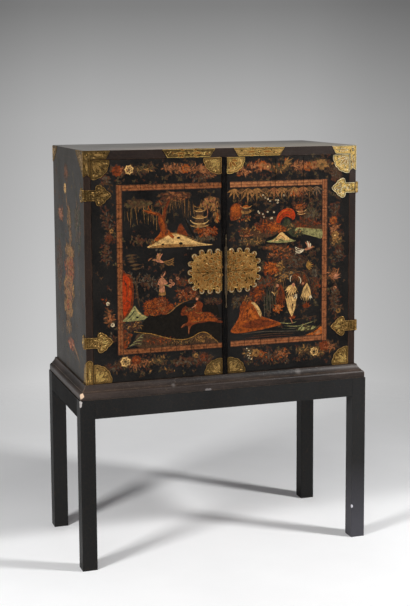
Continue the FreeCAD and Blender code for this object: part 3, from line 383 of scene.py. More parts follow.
side_lacquer = lacquer("side_lacquer", (21, 19, 16), (52, 46, 39), (88, 68, 52),
                       cloud=6, stretch=(1, 1, 0.35), gloss=(0.35, 0.55), rub=0.8, shine=0.25)
# The top's pale grey is partly dust and partly a painted sheen, the backdrop's reflection on black lacquer.
top_lacquer = lacquer("top_lacquer", (110, 107, 102), (148, 143, 137), (96, 74, 55),
                      cloud=5, gloss=(0.25, 0.4), scuffs_and_painted_light=TOP_PAINTED_HIGHLIGHTS)
edge_lacquer = lacquer("edge_lacquer", (21, 11, 6), (42, 25, 15), (88, 60, 40),
                       cloud=9, stretch=(0.2, 1, 1), gloss=(0.35, 0.5), rub=0.8)
moulding_lacquer = lacquer("moulding_lacquer", (16, 12, 10), (66, 54, 48), (120, 100, 84),
                           cloud=16, stretch=(0.2, 0.2, 1), gloss=(0.3, 0.5), rub=0.9,
                           scuffs_and_painted_light=MOULDING_SCUFFS, chips=MOULDING_CHIPS)
stand_lacquer = lacquer("stand_lacquer", (30, 30, 30), (42, 42, 42), (92, 72, 54),
                        cloud=3, stretch=(1, 1, 0.3), gloss=(0.38, 0.5), rub=0.25, edge=0.002, shine=0.06,
                        scuffs_and_painted_light=STAND_PAINTED_LIGHT, chips=STAND_CHIPS)
# Painted shade: a darker copy of the stand's lacquer for the left rail, which lies in shade.
shaded_lacquer = lacquer("shaded_lacquer", (14, 14, 14), (24, 24, 24), (92, 72, 54),
                         cloud=3, stretch=(1, 1, 0.3), gloss=(0.38, 0.5), rub=0.25, edge=0.002, shine=0.01)
bead_lacquer = lacquer("bead_lacquer", (9, 8, 8), (18, 18, 18), (60, 50, 42),
                       cloud=4, gloss=(0.18, 0.3), shine=0.08)
print("lacquers mixed:", sum("lacquer" in material.name for material in bpy.data.materials))

# %% [markdown]
# ## Wood, brass and iron
#
# The inside is stained wood with its grain along the boards. A wave pattern would give even stripes, so two
# noises are squeezed along the board instead, and draw out into streaks. Brass is a metal, so its colour
# tints what it reflects, and it stays bright only where polishing reaches. Every curl of the graver could
# be modelled, but most are finer than a hair. So only large leaves are, further down, and the fine scrolls
# are lines where a soft noise passes one height again and again.

# %% Wood, brass and iron
def wood(name, dark, light, along, gloss=(0.5, 0.7)):
    """Stained board with grain; along squeezes the noise so that the streaks run that way."""
    finish = Finish(name)
    streaks = finish.noise(60, 6, along, 0.65)
    rings = finish.noise(9, 3, along)
    fine = finish.times(streaks, 0.55)
    grain = finish.reckon("ADD", fine, finish.times(rings, 0.45))
    colour = finish.ramp(grain, (0.36, tone(*dark)), (0.64, tone(*light)))
    finish.bump(streaks, 0.0004, 0.6)
    return finish.done(colour, finish.between(streaks, *gloss))


inner_wood = wood("inner_wood", (62, 32, 22), (104, 58, 38), (0.06, 1, 1))
bare_wood = wood("bare_wood", (112, 82, 54), (156, 120, 84), (1, 0.06, 1))


def brass(name, bright, dull, patina=0.5, polish=(0.28, 0.5), stain=(72, 54, 26)):
    """Old brass: patina in clouds, dark lines that wander like scrolls, and the fine marks of the graver."""
    finish = Finish(name)
    clouds = finish.noise(22, 5)
    marks = finish.noise(300, 3)
    spread = 0.3 * patina
    colour = finish.ramp(clouds, (0.62 - spread, tone(*bright)), (0.95 - spread, tone(*dull)))
    scroll = finish.step(finish.reckon("PINGPONG", finish.noise(38, 2), 0.05), 0.014, 0.005)
    stains = finish.reckon("MAXIMUM", finish.step(marks, 0.56, 0.66), scroll)
    colour = finish.blend(finish.times(stains, 0.6), colour, tone(*stain))
    fine = finish.times(marks, 0.5)
    finish.bump(finish.reckon("ADD", fine, finish.reckon("SUBTRACT", clouds, scroll)), 0.0007)
    return finish.done(colour, finish.between(clouds, *polish), metallic=1.0)


BRASS_TONES = {   # bright, dull, amount of patina and range of polish
    "pale": ((252, 238, 198), (228, 206, 152), 0.2), "bright": ((244, 206, 122), (198, 154, 78), 0.25),
    "old": ((212, 170, 102), (140, 107, 60)), "warm": ((206, 152, 84), (98, 66, 32)),
    "worn": ((170, 134, 78), (100, 76, 42)), "dull": ((138, 112, 70), (80, 62, 38), 0.6),
    "strip": ((118, 102, 80), (62, 52, 40), 0.6), "brown": ((190, 126, 62), (134, 88, 42)),
    "dark": ((70, 52, 26), (36, 26, 14), 0.6, (0.55, 0.75)),
}
BRASSES = {name: brass(name + "_brass", *tones) for name, tones in BRASS_TONES.items()}
lock_iron = brass("lock_iron", (92, 88, 84), (52, 48, 46), 0.6, (0.45, 0.65))
print("woods:", inner_wood.name, bare_wood.name, "metals:", ", ".join(BRASSES), "brass and", lock_iron.name)

# %% [markdown]
# ## Dressing the boards
#
# Most solids take one finish all over, by the slot they already know. The case is different: its front
# edges are brown, its top is dusty grey with a painted sheen and its inside is stained wood. It could be
# cut into a piece for each finish. It's simpler to give a board several finishes and let each face pick one
# by where it looks.

# %% Give every solid its finish
FINISHES = {"stand_lacquer": stand_lacquer, "moulding_lacquer": moulding_lacquer,
            "side_lacquer": side_lacquer, "top_lacquer": top_lacquer, "door_lacquer": door_lacquer,
            "bead_lacquer": bead_lacquer, "inner_wood": inner_wood, "bare_wood": bare_wood,
            "engraved_brass": BRASSES["old"], "lock_iron": lock_iron}
slot_of = {part["node"]: part["material_slot"] for part in frame["record"]["subparts"]}


def dress(node, *finishes, choose=None):
    """Give a solid one finish, or several with a rule that picks one for each face."""
    mesh = nodes[node].data
    mesh.materials.clear()
    for finish in finishes:
        mesh.materials.append(finish)
    if choose:
        for face in mesh.polygons:
            face.material_index = choose(face.center, face.normal)


def side_face(centre, normal):
    """Outer face, front edge or inner face of a side board."""
    if normal.y < -0.5:
        return 1
    outside = abs(centre.x) > CASE_RIGHT - MM
    return 0 if outside else 2


def top_face(centre, normal):
    """Upper face, front edge, ends or underside of the top board."""
    if normal.z > 0.5:
        return 0
    if normal.z < -0.5:
        return 3
    return 1 if normal.y < -0.5 else 2


for node, slot in slot_of.items():
    dress(node, FINISHES[slot])
for node in ("case_side_left", "case_side_right"):
    dress(node, side_lacquer, edge_lacquer, inner_wood, choose=side_face)
dress("case_top", top_lacquer, edge_lacquer, side_lacquer, inner_wood, choose=top_face)
dress("base_rail", edge_lacquer)
# The left rail takes the darker copy of the stand's lacquer as painted shade.
dress("rail_left", shaded_lacquer)
print("dressed", len(slot_of), "solids with", len(set(slot_of.values())), "slots")

# %% [markdown]
# ## Bright and dull plates
#
# Brass that cloths reach stays bright, and brass in a corner goes dull. Part of the difference is painted
# light as well: the plates at the top right get brighter brass for the right lamp's reflection in them,
# and those on the left duller brass for the shade they stand in. One finish for all would look cast in one
# go, and one for each would be tedious to keep. So the plates are sorted into four degrees of polish and
# painted light, and any that isn't named keeps the old brass.

# %% Degrees of polish and painted light
# The bright plates at the top right carry a painted reflection of the right lamp, the dull ones on the left
# painted shade.
POLISH_AND_PAINTED_LIGHT = {
    "bright": ["hinge_strap_top_right", "corner_mount_front_right", "mount_right_top_outer"],
    "worn": ["hinge_strap_bottom_left", "hinge_strap_bottom_right", "mount_left_bottom_outer",
             "mount_right_bottom_outer", "hinge_leaf_bottom_left", "corner_mount_foot_left",
             "mount_left_top_inner"],
    "warm": ["escutcheon_left", "escutcheon_right"],
    "dull": ["hinge_strap_top_left", "hinge_leaf_top_left", "corner_mount_front_left",
             "mount_left_top_outer", "corner_mount_back_left", "mount_left_bottom_inner",
             "mount_right_bottom_inner"],
}


def polish_and_light_of(node):
    """How bright a plate's brass is: its polish together with painted reflection and painted shade."""
    return next((degree for degree, named in POLISH_AND_PAINTED_LIGHT.items() if node in named), "old")


for degree, named in POLISH_AND_PAINTED_LIGHT.items():
    for node in named:
        dress(node, BRASSES[degree])
dress("closing_strip", BRASSES["strip"])
# The left band mount gets dull brass as painted shade, the right one the brighter old brass.
dress("band_mounts", BRASSES["dull"], BRASSES["old"], choose=lambda centre, normal: int(centre.x > 0))
print("plates by polish:", {degree: len(named) for degree, named in POLISH_AND_PAINTED_LIGHT.items()})

# %% [markdown]
# ## Paints for the raised picture
#
# Such a picture is built up in coats: a paste of whiting and size, then coloured lacquer, then a few
# strokes of powdered metal. The paints are few, because few pigments stay true in lacquer. One shader for
# all could do, but a paint of its own keeps its own wear: clouds of lighter and darker colour, and ragged
# spots where the black ground shows.

# %% Mix the paints
PAINTS = {
    "vermilion": (154, 48, 14), "rust": (138, 65, 22), "brick": (106, 47, 20), "orange": (160, 81, 28),
    "salmon": (134, 82, 50), "coral": (152, 98, 60), "cream": (198, 156, 96), "celadon": (136, 128, 80),
    "tan": (134, 94, 50), "gold": (142, 102, 48), "olive": (76, 62, 38), "pink": (170, 110, 78),
    "white": (206, 186, 150), "grey": (76, 67, 53), "black": (22, 18, 13), "maroon": (74, 42, 28),
    "moss": (54, 55, 36), "umber": (72, 50, 32), "rose": (124, 75, 43),
}
GROUND = tone(22, 19, 16)
DARKER, LIGHTER = 0.68, 1.1
LITTLE_WORN = ("black", "white", "cream", "vermilion", "salmon", "coral")


def paint(name, colour, wear):
    """One pigment in lacquer, clouded and rubbed through to the black ground in ragged spots."""
    finish = Finish("paint_" + name)
    dark, light = [tuple(min(255, value * by) for value in colour) for by in (DARKER, LIGHTER)]
    shade = finish.ramp(finish.noise(110, 6, roughness=0.72), (0.37, tone(*dark)), (0.61, tone(*light)))
    lost = finish.step(finish.noise(85, 6, roughness=0.78), 0.53, 0.6)
    rubbed = finish.step(finish.noise(260, 5), 0.57, 0.72)
    gone = finish.times(finish.reckon("MAXIMUM", lost, rubbed), wear)
    shade = finish.blend(gone, shade, GROUND)
    net = finish.step(finish.cracks(150), 0.03, 0.0)
    shade = finish.blend(finish.times(net, 0.12), shade, GROUND)
    grain = finish.noise(240, 3)
    finish.bump(finish.reckon("SUBTRACT", grain, finish.times(rubbed, 0.6)), 0.0004)
    roughness = finish.reckon("ADD", finish.times(rubbed, 0.2), 0.4)
    return finish.done(shade, roughness, specular_ior_level=0.14)


paints = {name: paint(name, colour, 0.3 if name in LITTLE_WORN else 0.6) for name, colour in PAINTS.items()}
print("paints mixed:", ", ".join(paints))

# %% [markdown]
# ## Curves
#
# A painter's outline is a curve through a few places, typed here as a run of x,z pairs. Blender's own curve
# objects could draw it, but each would have to be turned into a mesh and joined. It takes less to work out
# the points of the curve and of a ring just inside it, and to build meshes from those.

# %% Curves
def pairs(run):
    """The numbers of a run of x,z pairs."""
    return [[float(part) for part in pair.split(",")] for pair in run.split()]


def places(drawn):
    """Points as vectors; they may be typed as a run of x,z pairs."""
    return [Vector(point) for point in (pairs(drawn) if isinstance(drawn, str) else drawn)]


def smooth(points, steps, closed):
    """A curve that passes through all the points, with that many steps from each to the next."""
    points = places(points)
    if steps < 2:
        return points
    count, curve = len(points), []
    for number in range(count if closed else count - 1):
        around = [number - 1, number, number + 1, number + 2]
        if closed:
            a, b, c, d = (points[k % count] for k in around)
        else:
            a, b, c, d = (points[min(max(k, 0), count - 1)] for k in around)
        for step in range(steps):
            t = step / steps
            curve.append(0.5 * (2 * b + (c - a) * t + (2 * a - 5 * b + 4 * c - d) * t * t
                                + (3 * b - a - 3 * c + d) * t ** 3))
    return curve if closed else curve + [points[-1]]


def inset(ring, distance):
    """The same ring drawn that far inside itself."""
    area = sum(here.cross(ring[(number + 1) % len(ring)]) for number, here in enumerate(ring))
    turn = 1 if area > 0 else -1
    inner = []
    for number, here in enumerate(ring):
        along = ring[(number + 1) % len(ring)] - ring[number - 1]
        side = Vector((-along.y, along.x)).normalized() if along.length > 1e-6 else Vector((0, 0))
        inner.append(here + side * distance * turn)
    return inner


def away(place, angle, distance):
    """The point at that distance from a place, in a direction in degrees."""
    return Vector(place) + Vector((math.cos(math.radians(angle)), math.sin(math.radians(angle)))) * distance


print("a curve through 3 places in steps of 4 has", len(smooth("0,0 1,1 2,0", 4, False)), "points")

# %% [markdown]
# ## Coats of paint
#
# A later coat lies on the ones before it and hides them. Two flat shapes at one height would flicker
# through each other, so each coat stands a few hundredths of a millimetre higher, as real paint does.
# Thousands of small objects would be slow. So all that one paint lays on one face is gathered into one
# closed mesh.

# %% Coats
import bmesh

SUNK = -0.05       # how far the underside of the paint reaches into the wood, mm
FIRST_COAT = 0.14  # height of the lowest coat, mm
COAT = 0.05        # height of each further coat, mm
BRUSH = 0.004      # how much two shapes of the same coat differ in height, mm


class Coats:
    """A face that is painted on, with the shapes laid on it so far, kept by paint."""

    def __init__(self, name, body, slot, place, paints):
        self.name, self.body, self.slot, self.place, self.paints = name, body, slot, place, paints
        self.coats = {}
        self.laid = 0

    def level(self, coat):
        """Height of a coat. Neighbours differ by a hair, so that no two of them share one face."""
        self.laid += 1
        return FIRST_COAT + coat * COAT + self.laid % 12 * BRUSH

    def add(self, paint, rings, faces):
        """Add points, given as (lift, ring) pairs, and the faces between them."""
        kept_points, kept_faces = self.coats.setdefault(paint, ([], []))
        first = len(kept_points)
        for lift, ring in rings:
            kept_points += [self.place(point.x, point.y, lift) for point in ring]
        kept_faces += [tuple(first + corner for corner in face) for face in faces]

    def faces(self):
        """How many faces have been laid so far."""
        return sum(len(faces) for points, faces in self.coats.values())

    def hang(self):
        """Turn what was painted into one closed mesh for each paint, riding on the sheet's body."""
        for paint, (points, faces) in self.coats.items():
            mesh = bpy.data.meshes.new(f"{self.name}_{paint}")
            mesh.from_pydata(points, [], faces)
            shape = bmesh.new()
            shape.from_mesh(mesh)
            bmesh.ops.recalc_face_normals(shape, faces=shape.faces)
            shape.to_mesh(mesh)
            shape.free()
            mesh.materials.append(self.paints[paint])
            piece = bpy.data.objects.new(mesh.name, mesh)
            bpy.context.scene.collection.objects.link(piece)
            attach(piece, self.body)
        return self.faces()


print("the ninth coat is", round(FIRST_COAT + 9 * COAT, 2), "mm high")

# %% [markdown]
# ## Patches and strokes
#
# Nearly all of such a picture is patches, filled up to an outline, and strokes, which swell and taper as
# the brush is pressed and lifted. A picture wrapped on flat wood would show them too, but not the line of
# light along their edges. So a patch gets a sloped rim and a stroke rounded sides.

# %% Patches and strokes
class Brush(Coats):
    """Lays patches and strokes, given in millimetres on the face."""

    def patch(self, paint, outline, coat=1, steps=4, rim=0.5):
        ring = smooth(outline, steps, True)
        inner, count = inset(ring, rim), len(ring)
        faces = [(n, (n + 1) % count, count + (n + 1) % count, count + n) for n in range(count)]
        for triangle in tessellate_polygon([[point.to_3d() for point in inner]]):
            faces += [tuple(count + corner for corner in triangle), tuple(reversed(triangle))]
        self.add(paint, [(SUNK, ring), (self.level(coat), inner)], faces)

    def stroke(self, paint, points, width, coat=1, tips=(0.3, 0.15), steps=4):
        line = smooth(points, steps, False)
        last, high = len(line) - 1, self.level(coat)
        edges = [[], [], [], []]
        for number, here in enumerate(line):
            along = line[min(number + 1, last)] - line[max(number - 1, 0)]
            side = Vector((-along.y, along.x)).normalized()
            start, end = number / last, 1 - number / last
            half = width / 2 * min(1, tips[0] + start * 4 * (1 - tips[0]), tips[1] + end * 4 * (1 - tips[1]))
            for edge, share in zip(edges, (1, 0.7, -0.7, -1)):
                edge.append(here + side * half * share)
        size = last + 1
        faces = [(0, size, 2 * size, 3 * size), (last, 3 * size + last, 2 * size + last, size + last)]
        for band in range(4):
            near, far = band * size, (band + 1) % 4 * size
            faces += [(near + n, near + n + 1, far + n + 1, far + n) for n in range(last)]
        self.add(paint, [(SUNK, edges[0]), (high, edges[1]), (high, edges[2]), (SUNK, edges[3])], faces)

    def strokes(self, rows, coat, tips=(0.3, 0.15)):
        """One stroke for each row of paint, points and width."""
        for paint, points, width in rows:
            self.stroke(paint, points, width, coat, tips)


print("Brush can", [name for name in vars(Brush) if name[0] != "_"])

# %% [markdown]
# ## Leaves and flowers
#
# A painter doesn't draw a leaf, but presses the brush, turns it and lifts it. Drawing each outline by hand
# would be truer, but a door has thousands. Here a leaf is a bent spine whose width swells and shrinks like
# half a wave. Widest near its tip it makes a petal, and a ring of petals a flower.

# %% Leaves and flowers
class Leaves(Brush):
    """Lays leaves, round blobs and flowers."""

    def leaf(self, paint, base, angle, length, width, coat=1, bend=0, fullest=0.8, steps=2):
        """A pointed leaf. A larger number for fullest makes it widest nearer its tip, as a petal is."""
        spine, here = [], Vector(base)
        for share in (0, 0.15, 0.35, 0.55, 0.75, 0.92, 1):
            spine.append((share, here))
            here = away(here, angle + bend * share, length / 6)
        left, right = [], []
        for share, point in spine[1:-1]:
            side = away((0, 0), angle + bend * share + 90, width / 2 * math.sin(math.pi * share ** fullest))
            left.append(point + side)
            right.append(point - side)
        outline = [spine[0][1]] + right + [spine[-1][1]] + left[::-1]
        self.patch(paint, outline, coat, steps, min(0.4, width / 8))

    def blob(self, paint, centre, wide, high=None, coat=1, points=12):
        """A round or oval dab."""
        high, outline = high or wide, []
        for number in range(points):
            turn = 2 * math.pi * number / points
            outline.append((centre[0] + wide * math.cos(turn), centre[1] + high * math.sin(turn)))
        self.patch(paint, outline, coat, 2, min(0.5, wide / 5))

    def dots(self, paint, centres, radius, coat=2):
        for centre in centres:
            self.blob(paint, centre, radius, coat=coat, points=8)

    def flower(self, centre, radius, petals, paint, heart, coat=2, turn=0, tips=None):
        """A ring of petals round a heart; tips is the paint of a small leaf on each petal."""
        wide = 2.1 * radius * math.sin(math.pi / petals)
        for number in range(petals):
            angle, above = turn + 360 * number / petals, coat + number % 2
            self.leaf(paint, away(centre, angle, radius * 0.15), angle, radius * 0.98, wide, above, 0, 1.5)
            if tips:
                start = away(centre, angle, radius * 0.3)
                self.leaf(tips, start, angle, radius * 0.5, wide * 0.35, coat + 2, 0, 1.2)
        self.blob(heart, centre, radius * 0.26, coat=coat + 3)

    def fan(self, paint, base, angle, spread, count, length, width, coat=1, bend=0):
        """Leaves from one point, like the ribs of a fan."""
        for number in range(count):
            share = number / (count - 1) - 0.5
            self.leaf(paint, base, angle + spread * share, length * (1 - 0.3 * abs(share)), width,
                      coat + number % 2, bend * share * 2)


print("Leaves can", [name for name in vars(Leaves) if name[0] != "_"])

# %% [markdown]
# ## Bushes, twigs and willow strands
#
# Foliage is drawn fast and never twice the same. A particle system could strew it, but not in coats of
# paint. A dice does it instead, which starts from the sheet's name and the spot, so every bush differs and
# yet falls the same each time. A mix is three paints: a dark bed, leaves over it, a few light ones on top.

# %% Growth
class Sheet(Leaves):
    """A sheet of the picture, with all that grows on it."""

    def clump(self, paint, centre, wide, high, count, length, width, coat=1, aim=None, spread=30):
        """Leaves strewn over an oval, all ways or roughly one way."""
        dice = random.Random(f"{self.name} {paint} {centre}")
        for number in range(count):
            turn, reach = dice.uniform(0, 2 * math.pi), math.sqrt(dice.random())
            base = (centre[0] + wide * reach * math.cos(turn), centre[1] + high * reach * math.sin(turn))
            angle = dice.uniform(0, 360) if aim is None else aim + dice.uniform(-spread, spread)
            size = dice.uniform(0.7, 1.2)
            self.leaf(paint, base, angle, length * size, width * size, coat + number % 2,
                      dice.uniform(-40, 40), steps=1 if length < 15 else 2)

    def growth(self, mix, centre, wide, high, count, length, coat=1, aim=None, spread=50):
        """A bush in up to three paints, each a smaller and sparser clump than the one below."""
        for number, (paint, share) in enumerate(zip(mix.split(), (1, 0.6, 0.3))):
            size, width = 1 - 0.1 * number, length * (0.45 - 0.06 * number)
            self.clump(paint, centre, wide * size, high * size, round(count * share), length, width,
                       coat + 2 * number, aim, spread)

    def sprigs(self, mix, low, high, count, length=16):
        """Small worn sprigs strewn over a rectangle, each a bent stroke with three leaves."""
        dice = random.Random(f"{self.name} {low}")
        for number in range(count):
            spot = Vector((dice.uniform(low[0], high[0]), dice.uniform(low[1], high[1])))
            angle, size = dice.uniform(0, 360), length * dice.uniform(0.6, 1.3)
            bend, paint = dice.uniform(-40, 40), dice.choice(mix.split())
            middle = away(spot, angle, size * 0.5)
            self.stroke(paint, [spot, middle, away(middle, angle + bend, size * 0.5)], 1.5, 0)
            for base, turn in ((spot, 30), (middle, -45), (middle, 50)):
                self.leaf(paint, base, angle + turn, size * 0.55, size * 0.24, 0, bend, steps=1)

    def spray(self, stem, leaf, points, count, length, width, coat=1, thick=1.6):
        """A stem with leaves left and right."""
        self.stroke(stem, points, thick, coat)
        line = smooth(points, 8, False)
        for number in range(count):
            spot = 1 + (len(line) - 2) * (number + 1) // (count + 1)
            along = line[spot] - line[spot - 1]
            lean = math.degrees(math.atan2(along.y, along.x)) + (55 if number % 2 else -55)
            self.leaf(leaf, line[spot], lean, length, width, coat + 1, -30 if number % 2 else 30)

    def strands(self, paint, starts, drop, width=1.5, coat=1, sway=6):
        """Fine strokes that hang down, as willow does."""
        dice = random.Random(f"{self.name} {paint} {starts[0]}")
        for x, z in starts:
            lean, fall = dice.uniform(-sway, sway), drop * dice.uniform(0.35, 1.15)
            self.stroke(paint, [(x, z), (x + lean * 0.3, z - fall * 0.5), (x + lean, z - fall)], width, coat)


print("Sheet can", [name for name in vars(Sheet) if name[0] != "_"])

# %% [markdown]
# ## The four painted faces
#
# Both doors and both ends carry paint. Each could be unrolled by hand, but they're flat, so a sheet needs
# only a rule that turns a place on it and a lift off it, in millimetres, into a point in space. On the
# doors u runs from the cabinet's middle, and on the ends from the front edge to the back.

# %% Sheets
def front(u, v, lift):
    return Vector((u * MM, DOOR_FACE - lift * MM, v * MM))


def left_side(u, v, lift):
    return Vector((CASE_LEFT - lift * MM, CASE_FRONT + u * MM, v * MM))


def right_side(u, v, lift):
    return Vector((CASE_RIGHT + lift * MM, CASE_FRONT + u * MM, v * MM))


left = Sheet("left_door", "left_door", "door_lacquer", front, paints)
right = Sheet("right_door", "right_door", "door_lacquer", front, paints)
left_end = Sheet("left_end", "cabinet", "side_lacquer", left_side, paints)
right_end = Sheet("right_end", "cabinet", "side_lacquer", right_side, paints)
print("sheets:", left.name, right.name, left_end.name, right_end.name)

# %% [markdown]
# ## Bands round the picture
#
# Each door has half of one picture, framed by a flat band of dull red paste with fine black ticks where it
# has cracked over the joints of the boards. Thin boxes could stand for the frame, but the real one is no
# thicker than the rest. So it's straight rectangles, because a ruler drew it.

# %% Bands
def band(sheet, paint, start, end, wide, ticks=()):
    """A straight stripe from start to end with a darker middle line and ticks across it."""
    (x0, z0), (x1, z1) = start, end
    level = abs(x1 - x0) > abs(z1 - z0)
    dx, dz = (0, wide / 2) if level else (wide / 2, 0)
    outline = [(x0 - dx, z0 - dz), (x1 - dx, z1 - dz), (x1 + dx, z1 + dz), (x0 + dx, z0 + dz)]
    sheet.patch(paint, outline, 1, 1)
    for share, shade in ((-0.1, "brick"), (0.85, "maroon"), (-0.9, "maroon")):
        shift = Vector((dx, dz)) * share
        sheet.stroke(shade, [Vector(start) + shift, Vector(end) + shift], wide * 0.12, 2, (1, 1), 1)
    for place in ticks:
        x, z = (place, z0) if level else (x0, place)
        sheet.stroke("black", [(x - dx, z - dz), (x + dx, z + dz)], 1.8, 3, (1, 1), 1)


band(left, "rose", (-363, 711), (-363, 1271), 20, (1208, 1162, 1120, 1065, 1015, 965, 910, 862, 815))
band(left, "rose", (-353, 1261), (-11, 1261), 20, (-290, -238, -190, -140, -87, -38))
band(left, "rose", (-353, 720), (-11, 720), 18, (-305, -262, -225, -172, -120, -66))
band(right, "salmon", (364, 711), (364, 1271), 20, (1215, 1170, 1110, 1062, 1008, 940, 896, 850, 790))
band(right, "coral", (20, 1261), (354, 1261), 20, (60, 118, 165, 212, 262, 310))
band(right, "salmon", (20, 721), (354, 721), 20, (70, 128, 182, 186, 232, 282, 330))
print("three bands on each door")

# %% [markdown]
# ## Houses, birds and people
#
# A painter of such scenes repeats a few figures: a pavilion with turned-up eaves, a bird with a long tail,
# a person in a robe. One mesh could be copied all over the doors, but copies look printed. Each figure is a
# function instead, so its size and colours can change while the hand stays the same.

# %% Pavilion
def pavilion(sheet, x, z, wide, tiers, wall="tan", roof="brick", coat=3):
    """Tiers of walls under curved eaves, each smaller than the one below, with a ball on top."""
    high = wide * 0.34
    for tier in range(tiers):
        half = wide / 2 * 0.78 ** tier
        sheet.patch(wall, [(x - half * 0.7, z), (x + half * 0.7, z), (x + half * 0.62, z + high),
                           (x - half * 0.62, z + high)], coat, 1)
        for share in (-0.5, -0.17, 0.17, 0.5):
            post = [(x + half * share, z + 1), (x + half * share * 0.9, z + high - 1)]
            sheet.stroke("umber", post, 1.8, coat + 1, (1, 1), 1)
        z += high
        outline = [(x - half, z + 3), (x - half * 0.55, z - 1), (x, z - 2), (x + half * 0.55, z - 1),
                   (x + half, z + 3), (x + half * 0.6, z + high * 0.3), (x + half * 0.25, z + high * 0.62),
                   (x, z + high * 0.7), (x - half * 0.25, z + high * 0.62),
                   (x - half * 0.6, z + high * 0.3)]
        sheet.patch(roof, outline, coat + 2, 3)
        sheet.stroke("cream", [(x - half - 2, z + 6), (x - half * 0.6, z), (x, z - 1.5),
                               (x + half * 0.6, z), (x + half + 2, z + 6)], 2, coat + 3)
        z += high * 0.55
        high *= 0.8
    sheet.stroke("gold", [(x, z), (x, z + high * 0.9)], 2.4, coat + 3)
    sheet.blob("brick", (x, z + high), 2.6, coat=coat + 3)


print("a pavilion has posts in umber and eaves edged in cream")

# %% [markdown]
# ## Birds and people
#
# A bird is a plump patch with raised wings and tail feathers that curl at their ends. A person is a hem, a
# robe with wide sleeves and a small pale head, laid from the hem upwards. Fixed points would draw them at
# one size only. Their places are shares of a size, so the same numbers draw a small one or a large one, and
# a facing of -1 turns it round.

# %% Bird and person
def spots(run, at):
    """Points from a run of shares and the rule that places one of them."""
    return [at(x, z) for x, z in pairs(run)]


def bird(sheet, x, z, size, facing, body="salmon", tail="cream", coat=3):
    """A bird in flight; facing is 1 to the right and -1 to the left."""
    def at(dx, dz):
        return (x + dx * size * facing, z + dz * size)
    sheet.patch(body, spots("0.5,0.1 0.36,0.2 0.1,0.18 -0.2,0.02 -0.36,-0.12 -0.1,-0.14 0.2,-0.08 "
                            "0.36,0.02", at), coat, 3)
    sheet.blob(body, at(0.5, 0.14), size * 0.09, coat=coat + 1)
    sheet.stroke("gold", spots("0.56,0.14 0.7,0.1", at), size * 0.06, coat + 1)
    for number, (dx, dz) in enumerate(((-0.2, 0.62), (-0.02, 0.7), (0.16, 0.66), (0.3, 0.5))):
        feather = [at(0.08 + 0.06 * number, 0.1), at(dx * 0.6 + 0.1, dz * 0.6), at(dx, dz)]
        sheet.stroke(tail if number % 2 else body, feather, size * 0.12, coat + 1 + number % 2, (0.6, 0.3))
    for dz, curl in ((0.12, 0.1), (-0.05, 0.2), (-0.2, 0.05), (-0.32, -0.16)):
        feather = [at(-0.25, -0.06), at(-0.7, dz * 0.8 - 0.1), at(-1.05, dz), at(-1.2, dz + curl)]
        sheet.stroke(tail, feather, size * 0.07, coat, (0.5, 0.2))
    sheet.dots("black", [at(0.52, 0.15)], size * 0.025, coat + 2)


def person(sheet, x, z, tall, robe, skirt, sash="gold", facing=1, coat=3):
    """A standing person in a long robe: hem, robe with wide sleeves, sash, face and hair."""
    def at(dx, dz):
        return (x + dx * tall * facing, z + dz * tall)
    sheet.patch(skirt, spots("-0.15,0 0.02,-0.02 0.17,0.01 0.15,0.18 0.1,0.4 -0.1,0.4 -0.15,0.2", at),
                coat, 3)
    sheet.patch(robe, spots("-0.13,0.16 0.0,0.12 0.13,0.18 0.11,0.45 0.24,0.5 0.27,0.58 0.13,0.74 "
                            "0.03,0.81 -0.09,0.79 -0.17,0.68 -0.21,0.5 -0.12,0.46", at), coat + 1, 3)
    for dx in (-0.09, 0.0, 0.08):
        sheet.stroke("umber", [at(dx * 0.7, 0.42), at(dx, 0.24), at(dx * 1.3, 0.04)], tall * 0.012 + 0.5,
                     coat + 2)
    sheet.stroke(sash, spots("-0.11,0.47 0,0.44 0.11,0.47", at), tall * 0.03, coat + 2, (1, 1))
    sheet.stroke(sash, spots("0.02,0.79 0.0,0.66 -0.03,0.46", at), tall * 0.02, coat + 2, (1, 1))
    sheet.blob("pink", at(0.01, 0.88), tall * 0.062, tall * 0.075, coat + 2)
    sheet.blob("umber", at(-0.01, 0.945), tall * 0.055, tall * 0.045, coat + 3)
    sheet.stroke("pink", spots("0.2,0.55 0.28,0.57", at), tall * 0.035, coat + 2)
    return at


print("a bird and a person are laid in coats 3 to 6")

# %% [markdown]
# ## Left door: the willow
#
# At the top of the left door a willow grows from a red bank on a pale island. Its trunk could be one patch
# with a careful outline. Strokes are simpler, broad ones first and lighter ones on top, and they thin out
# as they rise, as a trunk does.

